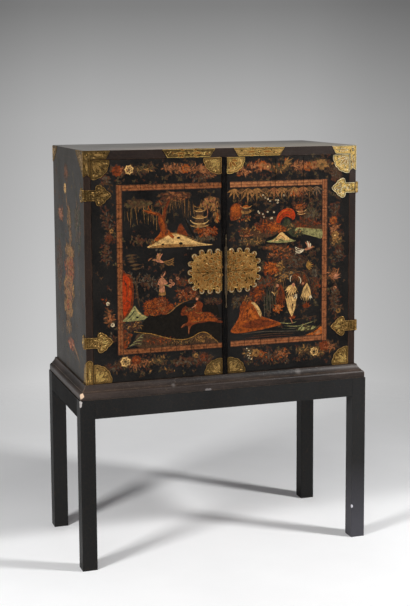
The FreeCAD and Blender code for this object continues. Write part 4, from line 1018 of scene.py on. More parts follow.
# %% Willow
QUIET = "umber maroon olive umber"   # the mix of the worn sprigs in the ground
left.sprigs(QUIET, (-345, 1070), (-20, 1250), 60)
left.growth("umber maroon olive", (-300, 1086), 28, 14, 26, 12)
left.growth("umber olive tan", (-254, 1078), 22, 9, 22, 10, aim=70)
left.patch("rust", "-266,1064 -250,1084 -236,1098 -216,1112 -188,1110 -176,1098 -246,1072", 1)
left.patch("cream", "-266,1062 -250,1074 -222,1088 -196,1101 -178,1105 -160,1102 -135,1092 -100,1076 "
           "-70,1068 -45,1062 -160,1060", 3)
left.patch("tan", "-262,1062 -230,1070 -190,1072 -130,1068 -70,1064 -160,1060", 4)
TRUNK = "-210,1098 -212,1122 -218,1146 -226,1168"
WILLOW_STROKES = [
    ("brick", TRUNK, 26, 4), ("brick", "-218,1146 -226,1168 -252,1177 -284,1186", 12, 4),
    ("brick", "-216,1150 -209,1172 -204,1196 -190,1220", 14, 4), ("rust", TRUNK, 12, 6),
    ("rust", "-240,1084 -226,1098 -214,1116", 14, 4), ("rust", "-178,1092 -192,1104 -204,1120", 14, 4),
    ("umber", "-198,1102 -204,1130 -210,1156", 4, 6), ("umber", "-206,1164 -198,1196 -186,1216", 3, 6),
    ("orange", "-230,1171 -256,1179 -282,1187", 3, 6), ("rust", "-204,1190 -222,1206 -228,1218", 5, 4),
    ("rust", "-250,1178 -262,1192 -264,1204", 4, 4), ("black", "-136,1150 -118,1116 -98,1082", 9, 4),
    ("gold", "-262,1066 -222,1090 -178,1107 -135,1094 -80,1072", 2, 5),
]
for paint, points, width, coat in WILLOW_STROKES:
    left.stroke(paint, points, width, coat, (0.8, 0.25) if width > 10 else (0.4, 0.2))
left.patch("brick", "-166,1100 -164,1124 -153,1138 -142,1122 -128,1096 -145,1100", 2)
for x, z, wide in ((-162, 1091, 6), (-216, 1071, 5), (-154, 1072, 7)):
    left.blob("black", (x, z), wide, wide * 0.7, 7)
left.dots("grey", [(-238, 1054), (-130, 1054), (-118, 1052), (-224, 1052)], 4)
print("willow and its bank:", left.faces(), "faces")

# %% [markdown]
# ## Left door: crown and pavilion
#
# The willow's crown is a few brown clouds of leaves with a curtain of twigs, and beside it a pavilion
# stands half sunk in bushes. Every twig could have its own numbers. They're counted out along each cloud's
# lower edge instead, and the dice only sways them and cuts them to length, so the curtain hangs evenly
# without looking combed. The bushes lie over the pavilion's foot in a higher coat, and its roof gets pale
# strokes last, as powdered metal went on.

# %% Crown and pavilion
CROWNS = (("umber olive umber", (-292, 1208), 46, 13, 60), ("umber maroon rose", (-166, 1228), 56, 15, 70),
          ("umber maroon olive", (-214, 1206), 20, 10, 20))
for mix, centre, wide, high, count in CROWNS:
    left.growth(mix, centre, wide, high, count, 18, 2, 180, 40)
WILLOW_STRANDS = [
    (-292, 52, 1216, 14, "olive", 70), (-288, 48, 1212, 11, "tan", 66), (-166, 58, 1232, 15, "umber", 84),
    (-164, 52, 1228, 11, "tan", 78),
]
for middle, half, top, count, paint, drop in WILLOW_STRANDS:
    shares = [2 * n / (count - 1) - 1 for n in range(count)]
    starts = [(middle + half * share + 3 * (n % 3), top - 26 * share * share)
              for n, share in enumerate(shares)]
    left.strands(paint, starts, drop, 1.5, 4)

pavilion(left, -88, 1104, 62, 3, "umber", "tan")
left.stroke("cream", "-121,1148 -110,1138 -88,1134 -66,1137 -56,1146", 4, 8)
left.stroke("tan", "-108,1196 -98,1190 -80,1190 -68,1196", 3, 8)
left.stroke("salmon", "-74,1200 -62,1184 -60,1164 -68,1150", 3, 8)
left.growth("brick rust salmon", (-64, 1108), 44, 14, 56, 13, 9)
left.growth("umber tan salmon", (-52, 1206), 36, 24, 50, 18, 3, -80, 40)
left.growth("umber tan rust", (-30, 1164), 14, 22, 22, 16, 3, -80, 40)
left.growth("umber grey olive", (-70, 1080), 46, 10, 40, 12, 1, 85, 40)
print("crown and pavilion:", left.faces(), "faces")

# %% [markdown]
# ## Left door: cliff and great bush
#
# Below the island a bird flies over low islets, a red cliff grows out of the band, and a tawny bush with
# leaves like open fans fills the shore. The cliff could be one patch with a noise for its veins, but two
# patches and three strokes keep the crisp edges of raised paste. Strewn leaves alone would blur. Flowers
# with many narrow petals on a dark bed read as fans from afar, and a thin clump on top breaks up their
# rings.

# %% Bird, cliff and bush
left.sprigs(QUIET, (-345, 900), (-140, 1040), 40)
left.sprigs(QUIET, (-180, 870), (-20, 925), 26)
bird(left, -226, 1016, 40, -1, "pink", "tan")
left.stroke("salmon", "-252,1028 -262,1024 -266,1018", 4, 4)
for number, z in enumerate((1038, 1028, 1018, 1006, 994)):
    wide = 26 - 3 * (number % 3)
    left.leaf("umber", (-344 + 5 * number, z), 4, wide * 1.6, 9, 1)
    left.leaf("olive", (-340 + 5 * number, z + 1), 4, wide, 4, 3)
left.patch("brick", "-354,980 -342,981 -326,972 -318,940 -318,890 -324,858 -340,834 -354,826", 2)
left.patch("vermilion", "-354,972 -340,973 -329,960 -324,930 -326,888 -336,858 -354,846", 3)
CLIFF_VEINS = [
    ("brick", "-350,960 -340,930 -342,890", 5), ("orange", "-334,960 -330,930 -332,900", 3),
    ("maroon", "-352,880 -340,890 -328,882", 3),
]
left.strokes(CLIFF_VEINS, 4)
BARE_TREE = [
    ("-298,866 -304,905 -308,940 -302,968 -288,978", 7), ("-306,930 -320,962 -332,990", 5),
    ("-304,946 -290,956 -276,952", 4), ("-272,936 -262,954 -246,962", 3), ("-262,972 -276,968 -288,958", 3),
    ("-252,948 -238,934 -242,916", 3),
]
for points, width in BARE_TREE:
    left.spray("umber", "grey", points, 6, 11, 3.5, 1, width)
left.growth("maroon umber grey", (-262, 950), 34, 20, 36, 12)
left.patch("celadon", "-356,824 -338,842 -322,864 -314,872 -304,858 -288,842 -268,829 -300,822 -340,821", 3)
left.stroke("cream", "-313,868 -303,850 -286,836", 3, 5)
left.stroke("moss", "-344,826 -324,844 -315,858", 5, 5)
left.blob("black", (-306, 833), 5, 3.5, 5)
left.growth("umber maroon tan", (-318, 806), 34, 13, 44, 12)

left.growth("maroon brick rust", (-238, 858), 44, 22, 60, 12, 1)
BUSH_FLOWERS = [
    ((-264, 868), 22, 13, "orange"), ((-222, 872), 26, 15, "salmon"), ((-246, 844), 16, 11, "orange"),
    ((-212, 850), 15, 11, "salmon"), ((-190, 862), 11, 9, "rust"), ((-272, 846), 12, 9, "rust"),
    ((-242, 884), 12, 9, "orange"),
]
for centre, radius, petals, tips in BUSH_FLOWERS:
    left.flower(centre, radius, petals, "brick", "rust", 3, 12, tips)
left.growth("maroon brick tan", (-236, 860), 40, 22, 30, 8, 8)
left.stroke("tan", "-276,846 -250,836 -215,834 -190,846 -168,864 -142,876 -110,884", 3, 4)
left.spray("umber", "rust", "-196,850 -172,868 -150,880 -116,888 -88,880", 9, 12, 5, 3, 3)
left.growth("maroon brick salmon", (-134, 904), 40, 18, 56, 14, 2)
left.growth("maroon umber brick", (-148, 942), 26, 12, 36, 12, 1)
left.spray("umber", "umber", "-186,944 -165,963 -144,989", 5, 10, 4, 2, 2.5)

person(left, -220, 902, 72, "pink", "tan", "gold", 1, 9)
left.stroke("pink", "-216,964 -211,974 -208,982", 4, 9)
left.stroke("celadon", "-214,938 -203,934 -192,930", 4, 13)
for x, z in ((-190, 948), (-182, 938), (-192, 932), (-166, 956)):
    left.flower((x, z), 6, 5, "pink", "brick", 9)
print("bird, cliff and bush:", left.faces(), "faces")

# %% [markdown]
# ## Left door: rider and ridge
#
# Under a black hill a rider in red gallops to the left, above a low ridge with a gold edge and a slope of
# small leaves. The horse could be put together from body, neck and legs, but seams would show in the
# relief. It's one patch, and short strokes add mane, reins and hooves. The gold edge is a stroke of its
# own, laid in one sweep.

# %% Rider and ridge
left.patch("black", "-296,784 -284,822 -256,836 -216,836 -188,844 -166,862 -140,870 -60,866 -24,850 "
           "-18,740 -60,736 -200,736 -280,740", 4)
left.patch("brick", "-143,829 -152,828 -157,835 -154,847 -149,856 -142,860 -139,864 -135,859 -122,851 "
           "-108,840 -88,838 -66,838 -46,832 -32,816 -20,806 -6,801 -4,796 -20,796 -38,800 -56,803 -80,800 "
           "-104,798 -118,792 -124,780 -126,766 -131,766 -131,784 -134,794 -142,793 -153,787 -157,791 "
           "-146,802 -134,806 -132,818 -136,828", 6, 3, 1.2)
left.patch("rust", "-126,846 -108,836 -64,834 -46,826 -34,812 -24,804 -46,804 -80,806 -108,804 -124,812", 8,
           3)
left.growth("maroon brick orange", (-74, 820), 40, 10, 40, 9, 9, 0, 30)
left.growth("umber maroon tan", (-130, 850), 12, 7, 16, 9, 12, -50, 40)
left.patch("brick", "-116,832 -112,852 -104,868 -94,876 -84,872 -78,862 -82,846 -78,830 -96,826", 9)
left.blob("pink", (-99, 884), 5, 6, 10)
left.blob("umber", (-97, 890), 6, 4, 11)
RIDER_STROKES = [
    ("pink", "-100,864 -112,856 -122,850", 4), ("gold", "-140,850 -124,846 -108,848", 1.5),
    ("maroon", "-136,856 -124,846 -112,838", 3), ("salmon", "-127,796 -129,780 -128,764", 2.5),
    ("salmon", "-136,800 -146,798 -156,788", 2.5), ("tan", "-118,806 -100,806 -84,808", 2.5),
    ("brick", "-44,816 -28,804 -8,800", 3), ("gold", "-106,838 -92,834 -76,836", 2.5),
    ("maroon", "-34,816 -22,812 -10,812", 3), ("gold", "-110,868 -104,856 -104,840", 1.8),
]
left.strokes(RIDER_STROKES, 11)
left.growth("maroon umber", (-44, 870), 34, 8, 30, 11, 5)

left.patch("umber", "-306,776 -256,772 -200,754 -150,746 -117,752 -92,764 -70,766 -50,752 -26,731 -120,731 "
           "-300,731", 6)
RIDGE_LEAVES = [
    ("maroon brick rust", (-236, 750), 54, 12, 60), ("black olive tan", (-160, 740), 50, 7, 44),
    ("umber tan gold", (-78, 748), 34, 11, 50),
]
for mix, centre, wide, high, count in RIDGE_LEAVES:
    left.growth(mix, centre, wide, high, count, 9, 7)
left.stroke("gold", "-318,786 -290,780 -256,774 -200,756 -150,748 -117,754 -92,767 -68,767 -46,750 -25,730",
            3.4, 12, (0.8, 0.8))
for number in range(8):
    z = 736 + number * 5
    blade = [(-340 + number * 6, z - 2), (-316 + number * 4, z + 5), (-292 + number, z + 2)]
    left.stroke("celadon" if number % 2 else "grey", blade, 2.8, 8, (0.5, 0.5))
left.patch("brick", "-354,734 -354,788 -346,795 -338,784 -322,776 -334,758 -340,736", 2)
left.growth("umber maroon rust", (-342, 762), 12, 22, 34, 12, 4, 60, 30)
print("left picture:", left.faces(), "faces")

# %% [markdown]
# ## Right door: leaves and blossom
#
# Bamboo leaves hang in tufts from the upper band, and a twig with white blossoms runs below them. One tuft
# could be copied along the band, but then all are alike. Each is a fan in three coats: a black shadow, the
# leaf's own colour and a fine pale rib.

# %% Leaves and blossom
right.sprigs(QUIET, (24, 1150), (350, 1235), 110)
right.sprigs(QUIET, (24, 1050), (150, 1140), 44)
right.sprigs(QUIET, (280, 1105), (350, 1200), 48)
BAMBOO = (
    (34, "tan", 34), (62, "umber", 38), (84, "tan", 46), (116, "tan", 40), (146, "umber", 32),
    (178, "rose", 38), (206, "tan", 34), (232, "umber", 42), (252, "tan", 40), (284, "rose", 36),
    (308, "umber", 42), (334, "grey", 34),
)
for x, paint, length in BAMBOO:
    rib = "tan" if paint == "umber" else "coral"
    for shade, wide, coat in (("black", 12, 1), (paint, 8, 3), (rib, 1.6, 5)):
        right.fan(shade, (x, 1248), -92, 108, 5, length * 1.3, wide, coat, 20)
right.growth("maroon rust salmon", (258, 1228), 26, 12, 30, 13, 3)
right.growth("olive umber tan", (150, 1222), 40, 12, 30, 13, 1)
right.stroke("tan", "118,1236 142,1222 156,1206 176,1206 198,1196", 2, 5)
TWIG_BLOSSOMS = [
    (137, 1223), (146, 1214), (155, 1209), (163, 1203), (184, 1205), (192, 1204), (190, 1196), (214, 1220),
    (238, 1224),
]
for x, z in TWIG_BLOSSOMS:
    right.flower((x, z), 3.2, 5, "white", "salmon", 5)
print("leaves and blossom:", right.faces(), "faces")

# %% [markdown]
# ## Right door: the red arch
#
# A bright red rock arches over dark undergrowth, with a small pavilion at either side. It could be a bent
# tube, but it's only a flat shape whose inner edge is cut away, so one closed outline gives it. The
# undergrowth comes first, so that nothing covers the red.

# %% Arch
right.patch("brick", "22,1142 20,1180 28,1194 42,1199 58,1192 64,1174 58,1152 44,1144", 2)
right.patch("rust", "24,1156 26,1184 40,1194 54,1184 54,1164 42,1152", 3)
right.growth("rust orange", (38, 1176), 14, 14, 16, 12, 4, 80, 40)
right.patch("tan", "58,1170 64,1162 84,1162 96,1170 88,1176 64,1176", 5)
pavilion(right, 76, 1170, 38, 1, "umber", "orange", 6)
right.growth("umber rust tan", (60, 1146), 36, 6, 20, 11, 1)
right.spray("umber", "maroon", "96,1146 130,1158 150,1144 186,1142", 12, 12, 5, 1)
BRANCH_BLOSSOMS = [
    (120, 1168), (124, 1163), (137, 1159), (141, 1149), (154, 1166), (165, 1143), (170, 1144), (177, 1164),
]
for x, z in BRANCH_BLOSSOMS:
    right.flower((x, z), 3.2, 5, "white", "pink", 4)

right.patch("umber", "98,1086 112,1112 134,1126 163,1150 184,1148 200,1130 200,1100 170,1082 130,1078", 2)
right.growth("maroon brick rust", (152, 1114), 46, 26, 90, 14, 3)
right.growth("rust orange", (182, 1112), 22, 16, 30, 13, 6)
right.patch("vermilion", "186,1130 188,1148 198,1163 214,1173 232,1176 248,1169 255,1152 252,1138 244,1136 "
            "237,1142 223,1147 208,1141 198,1126", 8)
ARCH_STROKES = [
    ("orange", "192,1146 206,1162 228,1169 244,1158", 4),
    ("brick", "204,1142 220,1154 236,1150 246,1132", 4), ("brick", "190,1132 197,1146 206,1155", 3),
    ("orange", "222,1176 234,1174 246,1166", 2.5),
]
right.strokes(ARCH_STROKES, 9)
right.patch("moss", "202,1094 206,1118 216,1136 230,1140 242,1122 258,1104 268,1080 246,1078 222,1096", 6)
right.growth("olive moss tan", (232, 1112), 20, 18, 30, 11, 7)
right.growth("brick rust orange", (206, 1104), 16, 12, 24, 11, 8)
right.patch("umber", "246,1120 262,1132 290,1128 330,1118 352,1112 352,1092 300,1098 258,1104", 2)
right.growth("maroon brick umber", (298, 1122), 50, 18, 76, 13, 3)
right.growth("umber grey olive", (318, 1150), 32, 18, 44, 13, 1)
right.growth("maroon rust salmon", (268, 1182), 24, 14, 40, 12, 3)
pavilion(right, 276, 1150, 36, 1, "brick", "salmon", 6)
right.stroke("cream", "262,1156 277,1153 292,1156", 3, 11)
print("arch:", right.faces(), "faces")

# %% [markdown]
# ## Right door: bridge and thicket
#
# Under the arch lie a pale mound and a bridge, one pale patch with eight upright strokes that a loop counts
# out. Below them is a thicket: twigs arch like the ribs of a parasol and grey grass hangs down. The arches
# could be circles, but a hand never closes one, so each is a stroke through five places on a ring.

# %% Mound, bridge and thicket
right.patch("celadon", "150,1064 170,1070 186,1080 203,1094 222,1082 240,1070 256,1062 200,1058", 10)
right.patch("cream", "166,1064 184,1075 203,1095 220,1084 238,1067 216,1066 204,1072 190,1066", 11)
MOUND_STROKES = [
    ("orange", "182,1070 196,1082 206,1082 220,1070", 3),
    ("black", "176,1066 190,1072 204,1068 214,1062", 3),
]
right.strokes(MOUND_STROKES, 12)
right.patch("celadon", "254,1094 262,1108 290,1106 320,1102 353,1098 353,1068 326,1074 290,1084", 10)
for number in range(8):
    x = 264 + 11.4 * number
    right.stroke("moss", [(x, 1104 - number * 0.8), (x, 1092 - number * 2.6)], 1.6, 11, (1, 1), 1)
right.stroke("tan", "258,1109 290,1107 320,1103 353,1099", 2, 12)
right.growth("olive moss tan", (264, 1088), 18, 10, 26, 11, 11)

right.patch("salmon", "52,1094 60,1085 92,1085 104,1092 94,1092 66,1090", 3)
right.growth("umber brick tan", (76, 1100), 24, 12, 32, 11, 4)
right.stroke("tan", "76,1098 77,1118", 2.2, 6)
right.growth("umber grey tan", (68, 1070), 20, 7, 18, 9, 1)
right.growth("umber olive tan", (104, 1068), 40, 9, 60, 12, 1)
right.growth("umber maroon tan", (112, 1104), 36, 12, 40, 12, 1)

right.sprigs(QUIET, (128, 950), (350, 1050), 110)
right.sprigs(QUIET, (24, 765), (350, 950), 120)
bird(right, 300, 1034, 38, 1, "pink", "white")
right.fan("maroon", (280, 1034), 160, 60, 4, 26, 8, 2)
LOW_SHRUBS = [
    ((168, 1042), 34, 40), ((208, 1034), 30, 36), ((172, 1014), 24, 24), ((222, 1012), 22, 20),
]
for centre, wide, count in LOW_SHRUBS:
    right.growth("maroon umber rose", centre, wide, 8, count, 14, 1, 20, 40)
SHRUB_TWIGS = [
    "138,1050 168,1044 199,1034 236,1040", "148,1026 184,1024 214,1010 240,1016",
]
for points in SHRUB_TWIGS:
    right.spray("umber", "rust", points, 8, 15, 5, 4, 2.5)
right.growth("brick rust orange", (168, 972), 26, 20, 60, 14, 2)
right.growth("umber tan gold", (202, 980), 16, 14, 26, 12, 2)
for number in range(6):
    reach = 20 + number * 11
    arch = [away((240, 946), angle, reach) for angle in (172, 140, 100, 60, 22)]
    right.stroke(("umber", "grey", "maroon")[number % 3], arch, 2.2, 3 + number % 2)
right.growth("maroon umber grey", (240, 990), 44, 20, 60, 12, 1)
right.fan("gold", (296, 974), 10, 110, 7, 30, 6, 3)

for x, z in ((142, 892), (152, 900), (162, 904), (172, 896), (184, 908)):
    right.strands("grey", [(x, z)], 78, 3, 3, 3)
right.strands("moss", [(136 + 6 * n, 892) for n in range(9)], 64, 2.4, 2)
right.growth("maroon brick rust", (116, 888), 26, 26, 60, 14, 2)
right.growth("umber brick grey", (150, 926), 40, 18, 60, 13, 1)
right.stroke("umber", "176,850 170,890 182,925 206,945 236,940", 4, 3)
right.growth("umber tan grey", (222, 950), 42, 14, 56, 12, 3)
print("bridge and thicket:", right.faces(), "faces")

# %% [markdown]
# ## Right door: the three people
#
# One person wears a brown robe, one a long cream dress that narrows to the ground, and one brown and cream.
# Patches would need an outline for every fold. At this size a robe is nothing but folds, so each is a few
# fans of long leaves that spread from the neck or the hem.

# %% Three people
for number in range(12):
    side, reach = (-1, 34 + 8 * number) if number < 8 else (1, 12 + 8 * (number - 4))
    rib = [(252, 953), (252 + side * reach * 0.5, 957 - number % 8),
           (252 + side * reach * 0.9, 930 - number % 8 * 2), (252 + side * reach, 892 - number % 3 * 8)]
    right.stroke(("umber", "tan", "grey", "maroon")[number % 4], rib, 2, 5, (0.9, 0.3))
ROBES = [
    ("brick", (201, 918), -89, 26, 7, 84, 12, 7), ("maroon", (201, 908), -90, 20, 4, 72, 4, 9),
    ("tan", (192, 896), -120, 30, 2, 26, 5, 10), ("brick", (246, 794), 100, 120, 4, 20, 8, 3),
    ("cream", (243, 802), 92, 24, 7, 92, 13, 9), ("cream", (244, 912), -96, 84, 7, 42, 12, 9),
    ("umber", (245, 818), 93, 16, 3, 58, 2.5, 11), ("tan", (248, 908), -92, 70, 5, 44, 3, 12),
    ("white", (262, 878), -130, 60, 3, 26, 4, 12), ("umber", (264, 952), -100, 110, 6, 44, 11, 9),
    ("brick", (262, 952), -100, 90, 5, 38, 4, 11), ("umber", (288, 952), -88, 40, 4, 62, 10, 8),
    ("brick", (288, 950), -86, 26, 3, 58, 4, 10), ("brick", (297, 830), 90, 120, 5, 24, 8, 7),
    ("cream", (299, 916), -93, 34, 8, 70, 11, 9), ("olive", (299, 908), -93, 28, 4, 58, 2.5, 11),
    ("white", (312, 872), -86, 50, 3, 18, 4, 12),
]
for paint, neck, aim, spread, count, length, wide, coat in ROBES:
    right.fan(paint, neck, aim, spread, count, length, wide, coat, 12)
right.growth("rust orange coral", (194, 833), 17, 10, 30, 11, 8)
right.growth("umber tan", (194, 928), 15, 7, 16, 10, 12)
for centre, high in (((251, 873), 7), ((246, 842), 6), ((228, 884), 4), ((262, 892), 4)):
    right.blob("umber", centre, high * 0.5, high, 13)
for centre, wide in (((190, 912), 5), ((249, 911), 5.5), ((284, 914), 4)):
    right.blob("pink", centre, wide, wide * 1.25, 12)
HANDS_AND_COLLARS = [
    ("white", "238,922 237,936 244,946", 2.6), ("white", "268,940 276,928 274,914", 3.4),
    ("tan", "254,946 266,938 270,924", 2.4), ("pink", "236,798 243,786 246,776", 3),
    ("cream", "168,892 176,886 180,878", 3),
]
right.strokes(HANDS_AND_COLLARS, 13, (0.6, 0.3))
right.growth("maroon umber brick", (332, 900), 16, 38, 56, 12, 1)
right.growth("umber grey", (326, 946), 16, 18, 26, 12, 1)
print("three people:", right.faces(), "faces")

# %% [markdown]
# ## Right door: hill and water
#
# In front of the people a red hill with a pale crest comes down to lines of water. The crest could be a
# lighter rim on the hill, but it's wide in the middle and runs out at both ends, so it's a patch. Water on
# black lacquer isn't filled in: a few long, thin strokes are enough.

# %% Hill and water
right.patch("rust", "20,762 34,786 50,812 56,838 62,860 76,874 96,866 118,842 132,812 152,802 184,790 "
            "204,777 150,766 60,756", 3)
right.patch("orange", "58,800 66,830 84,852 96,836 112,814 120,798 90,788", 4)
right.patch("brick", "60,782 110,800 150,796 188,784 150,772 90,770", 5)
right.growth("brick rust", (70, 822), 20, 44, 40, 14, 5, 60, 30)
right.patch("cream", "94,858 103,860 114,852 124,838 132,820 128,806 120,818 112,834 104,846", 7)
right.stroke("salmon", "98,854 112,840 122,820", 3, 8)
right.growth("umber maroon tan", (76, 872), 22, 10, 30, 11, 8)
right.growth("umber grey olive", (40, 866), 16, 20, 24, 12, 1)
WATER = [
    ("190,784 236,778 262,783", "celadon"), ("216,771 262,767 300,774 330,782", "celadon"),
    ("232,762 280,758 322,764", "grey"), ("60,752 140,756 220,752 290,750", "grey"),
    ("100,744 180,747 250,743", "umber"), ("70,737 160,739 240,736", "maroon"),
    ("250,790 290,793 336,800", "umber"), ("206,762 250,760 290,764", "moss"),
]
for points, paint in WATER:
    right.stroke(paint, points, 2.8, 2)
right.growth("moss olive celadon", (292, 756), 38, 10, 60, 14, 3, 15, 25)
right.patch("orange", "296,733 322,742 340,752 353,762 353,733", 6)
right.patch("coral", "322,735 334,743 346,750 350,740 344,735", 7)
right.stroke("umber", "290,732 322,746 342,760 353,770", 4, 8)
print("right picture:", right.faces(), "faces")

# %% [markdown]
# ## Flowers round both doors
#
# Between band and door edge runs a loose border of flowers on long stems. A repeated or mirrored pattern
# would be quick, but it looks like wallpaper. So each door has its own stems, flowers and beds in three
# tables, and one function draws them: leaves turn left and right along a stem, and every flower gets a few
# dark leaves under it.

# %% Borders
PETAL_TIPS = {"cream": "umber", "brick": "brick", "maroon": "brick"}


def border(sheet, stems, flowers, beds):
    """One side's garland: stems with leaves, flowers on top, and beds of leaves under them."""
    for leaf, points, count, length in stems:
        sheet.spray("umber", leaf, points, count, length, length * 0.38, 1, 2)
    for centre, radius, petals, paint, heart in flowers:
        sheet.growth("umber maroon", centre, radius * 1.3, radius * 0.9, round(radius), radius * 0.9, 0)
        sheet.flower(centre, radius, petals, paint, heart, 4, 20, PETAL_TIPS.get(paint, "tan"))
    for mix, centre, wide, high, count in beds:
        sheet.growth(mix, centre, wide, high, count, 14, 1)


EARTH, FLAME, DUSK, BLUSH = "umber olive tan", "umber rose salmon", "maroon umber grey", "maroon rose coral"
left.sprigs(QUIET, (-378, 1280), (-90, 1345), 60)
left.sprigs(QUIET, (-436, 760), (-380, 1240), 26)
left.sprigs(QUIET, (-370, 640), (-80, 704), 60)
LEFT_STEMS = [
    ("umber", "-316,1316 -290,1308 -262,1320 -240,1330", 9, 17),
    ("rose", "-214,1330 -184,1316 -150,1314 -126,1322 -75,1316 -30,1280", 18, 18),
    ("maroon", "-404,1000 -412,1050 -402,1090 -394,1130 -412,1175 -404,1196", 20, 17),
    ("brick", "-412,800 -398,838 -408,880 -420,905", 10, 15),
    ("umber", "-404,664 -376,682 -345,694 -308,688 -262,678 -228,692", 14, 18),
    ("umber", "-178,690 -156,668 -128,668 -105,690 -72,678 -44,668", 13, 17),
    ("umber", "-420,1330 -404,1300 -392,1260 -398,1230", 10, 16),
]
LEFT_FLOWERS = [
    ((-368, 1317), 18, 9, "brick", "brick"), ((-328, 1320), 15, 7, "cream", "olive"),
    ((-135, 1319), 15, 8, "rust", "salmon"), ((-74, 1314), 13, 7, "salmon", "umber"),
    ((-398, 1098), 15, 7, "maroon", "brick"), ((-390, 1122), 7, 5, "tan", "umber"),
    ((-405, 884), 6, 5, "white", "black"), ((-390, 813), 7, 6, "white", "black"),
    ((-348, 687), 17, 7, "cream", "olive"), ((-311, 690), 16, 9, "brick", "rust"),
    ((-76, 682), 17, 8, "maroon", "brick"), ((-104, 690), 8, 5, "tan", "umber"),
]
LEFT_BEDS = [
    (FLAME, (-346, 1316), 14, 12, 12), (EARTH, (-280, 1322), 40, 10, 34), (FLAME, (-170, 1322), 46, 10, 44),
    (FLAME, (-100, 1316), 34, 14, 40), (DUSK, (-84, 1288), 46, 6, 24), (FLAME, (-48, 1300), 22, 10, 24),
    (DUSK, (-400, 1150), 18, 30, 24), (DUSK, (-408, 1050), 16, 34, 22), (FLAME, (-400, 838), 12, 26, 30),
    (DUSK, (-392, 770), 10, 14, 12), (DUSK, (-392, 668), 26, 12, 26), (FLAME, (-300, 676), 40, 12, 40),
    (EARTH, (-236, 684), 30, 12, 30), (DUSK, (-150, 674), 40, 12, 40), (DUSK, (-84, 676), 36, 16, 36),
    (EARTH, (-250, 650), 90, 8, 14), (DUSK, (-410, 1290), 16, 20, 20),
]
border(left, LEFT_STEMS, LEFT_FLOWERS, LEFT_BEDS)

right.sprigs(QUIET, (80, 1280), (385, 1345), 70)
right.sprigs(QUIET, (380, 770), (438, 1230), 70)
right.sprigs(QUIET, (80, 640), (385, 704), 60)
RIGHT_STEMS = [
    ("rust", "36,1288 62,1306 104,1326 134,1324 165,1312 196,1318 228,1340", 16, 18),
    ("tan", "252,1332 272,1318 300,1314 325,1318 362,1325 396,1316", 14, 18),
    ("umber", "398,1320 412,1296 424,1268 420,1244", 12, 18),
    ("maroon", "428,1196 408,1168 400,1122 405,1078 418,1040 414,1000", 18, 18),
    ("umber", "430,952 412,930 402,893 398,850 408,822 420,776", 18, 17),
    ("grey", "70,704 84,690 80,668 96,662", 8, 10),
    ("rust", "102,690 134,680 172,662 198,668 226,688", 14, 17),
    ("umber", "256,694 286,676 326,675 368,686 404,682 424,700", 14, 17),
]
RIGHT_FLOWERS = [
    ((136, 1324), 15, 8, "rust", "tan"), ((155, 1319), 12, 7, "salmon", "cream"),
    ((301, 1316), 16, 8, "rust", "brick"), ((353, 1322), 18, 8, "tan", "olive"),
    ((325, 1320), 14, 7, "salmon", "brick"), ((397, 1128), 14, 8, "rust", "brick"),
    ((404, 1076), 15, 7, "tan", "cream"), ((404, 892), 7, 6, "pink", "brick"),
    ((417, 812), 9, 6, "tan", "black"), ((112, 684), 14, 7, "tan", "umber"),
    ((132, 678), 11, 7, "rust", "tan"), ((327, 674), 15, 9, "cream", "black"),
    ((364, 690), 19, 9, "brick", "brick"),
]
RIGHT_BEDS = [
    (BLUSH, (66, 1306), 28, 12, 34), (BLUSH, (118, 1322), 36, 16, 54), (EARTH, (196, 1314), 46, 14, 60),
    (BLUSH, (276, 1318), 36, 14, 56), (EARTH, (340, 1322), 44, 16, 60), (DUSK, (408, 1290), 20, 32, 50),
    (DUSK, (400, 1160), 14, 30, 26), (BLUSH, (398, 1104), 18, 22, 30), (EARTH, (408, 1060), 20, 24, 40),
    (DUSK, (414, 1010), 16, 26, 30), (FLAME, (400, 940), 20, 24, 36), (DUSK, (404, 850), 16, 50, 70),
    (EARTH, (90, 684), 22, 18, 30), (DUSK, (160, 670), 44, 16, 50), (FLAME, (206, 676), 30, 14, 30),
    (EARTH, (284, 684), 30, 16, 34), (EARTH, (336, 672), 34, 18, 40), (FLAME, (384, 690), 26, 16, 30),
    (DUSK, (210, 648), 110, 8, 14),
]
border(right, RIGHT_STEMS, RIGHT_FLOWERS, RIGHT_BEDS)
right.fan("tan", (214, 1326), 30, 50, 3, 40, 8, 3)
right.fan("pink", (398, 926), 30, 50, 3, 34, 7, 4)
right.dots("white", [(78, 702), (86, 694), (90, 684), (82, 678), (86, 668), (94, 664), (88, 676)], 2.2, 5)
for x, top, low in ((183, 1350, 1252), (285, 1350, 1100)):
    right.stroke("black", [(x, top), (x - 1, (top + low) / 2), (x, low)], 1.2, 16, (0.6, 0.2))
print("borders:", left.faces(), "faces on the left door and", right.faces(), "on the right one")

# %% [markdown]
# ## The ends of the case
#
# The ends are painted more freely, with one tall column of flowers and leaves, and have faded more than the
# doors. They could be two pictures, but workshops drew both from one pattern. So does one function here,
# and the dice makes them differ, as it starts from each sheet's name.

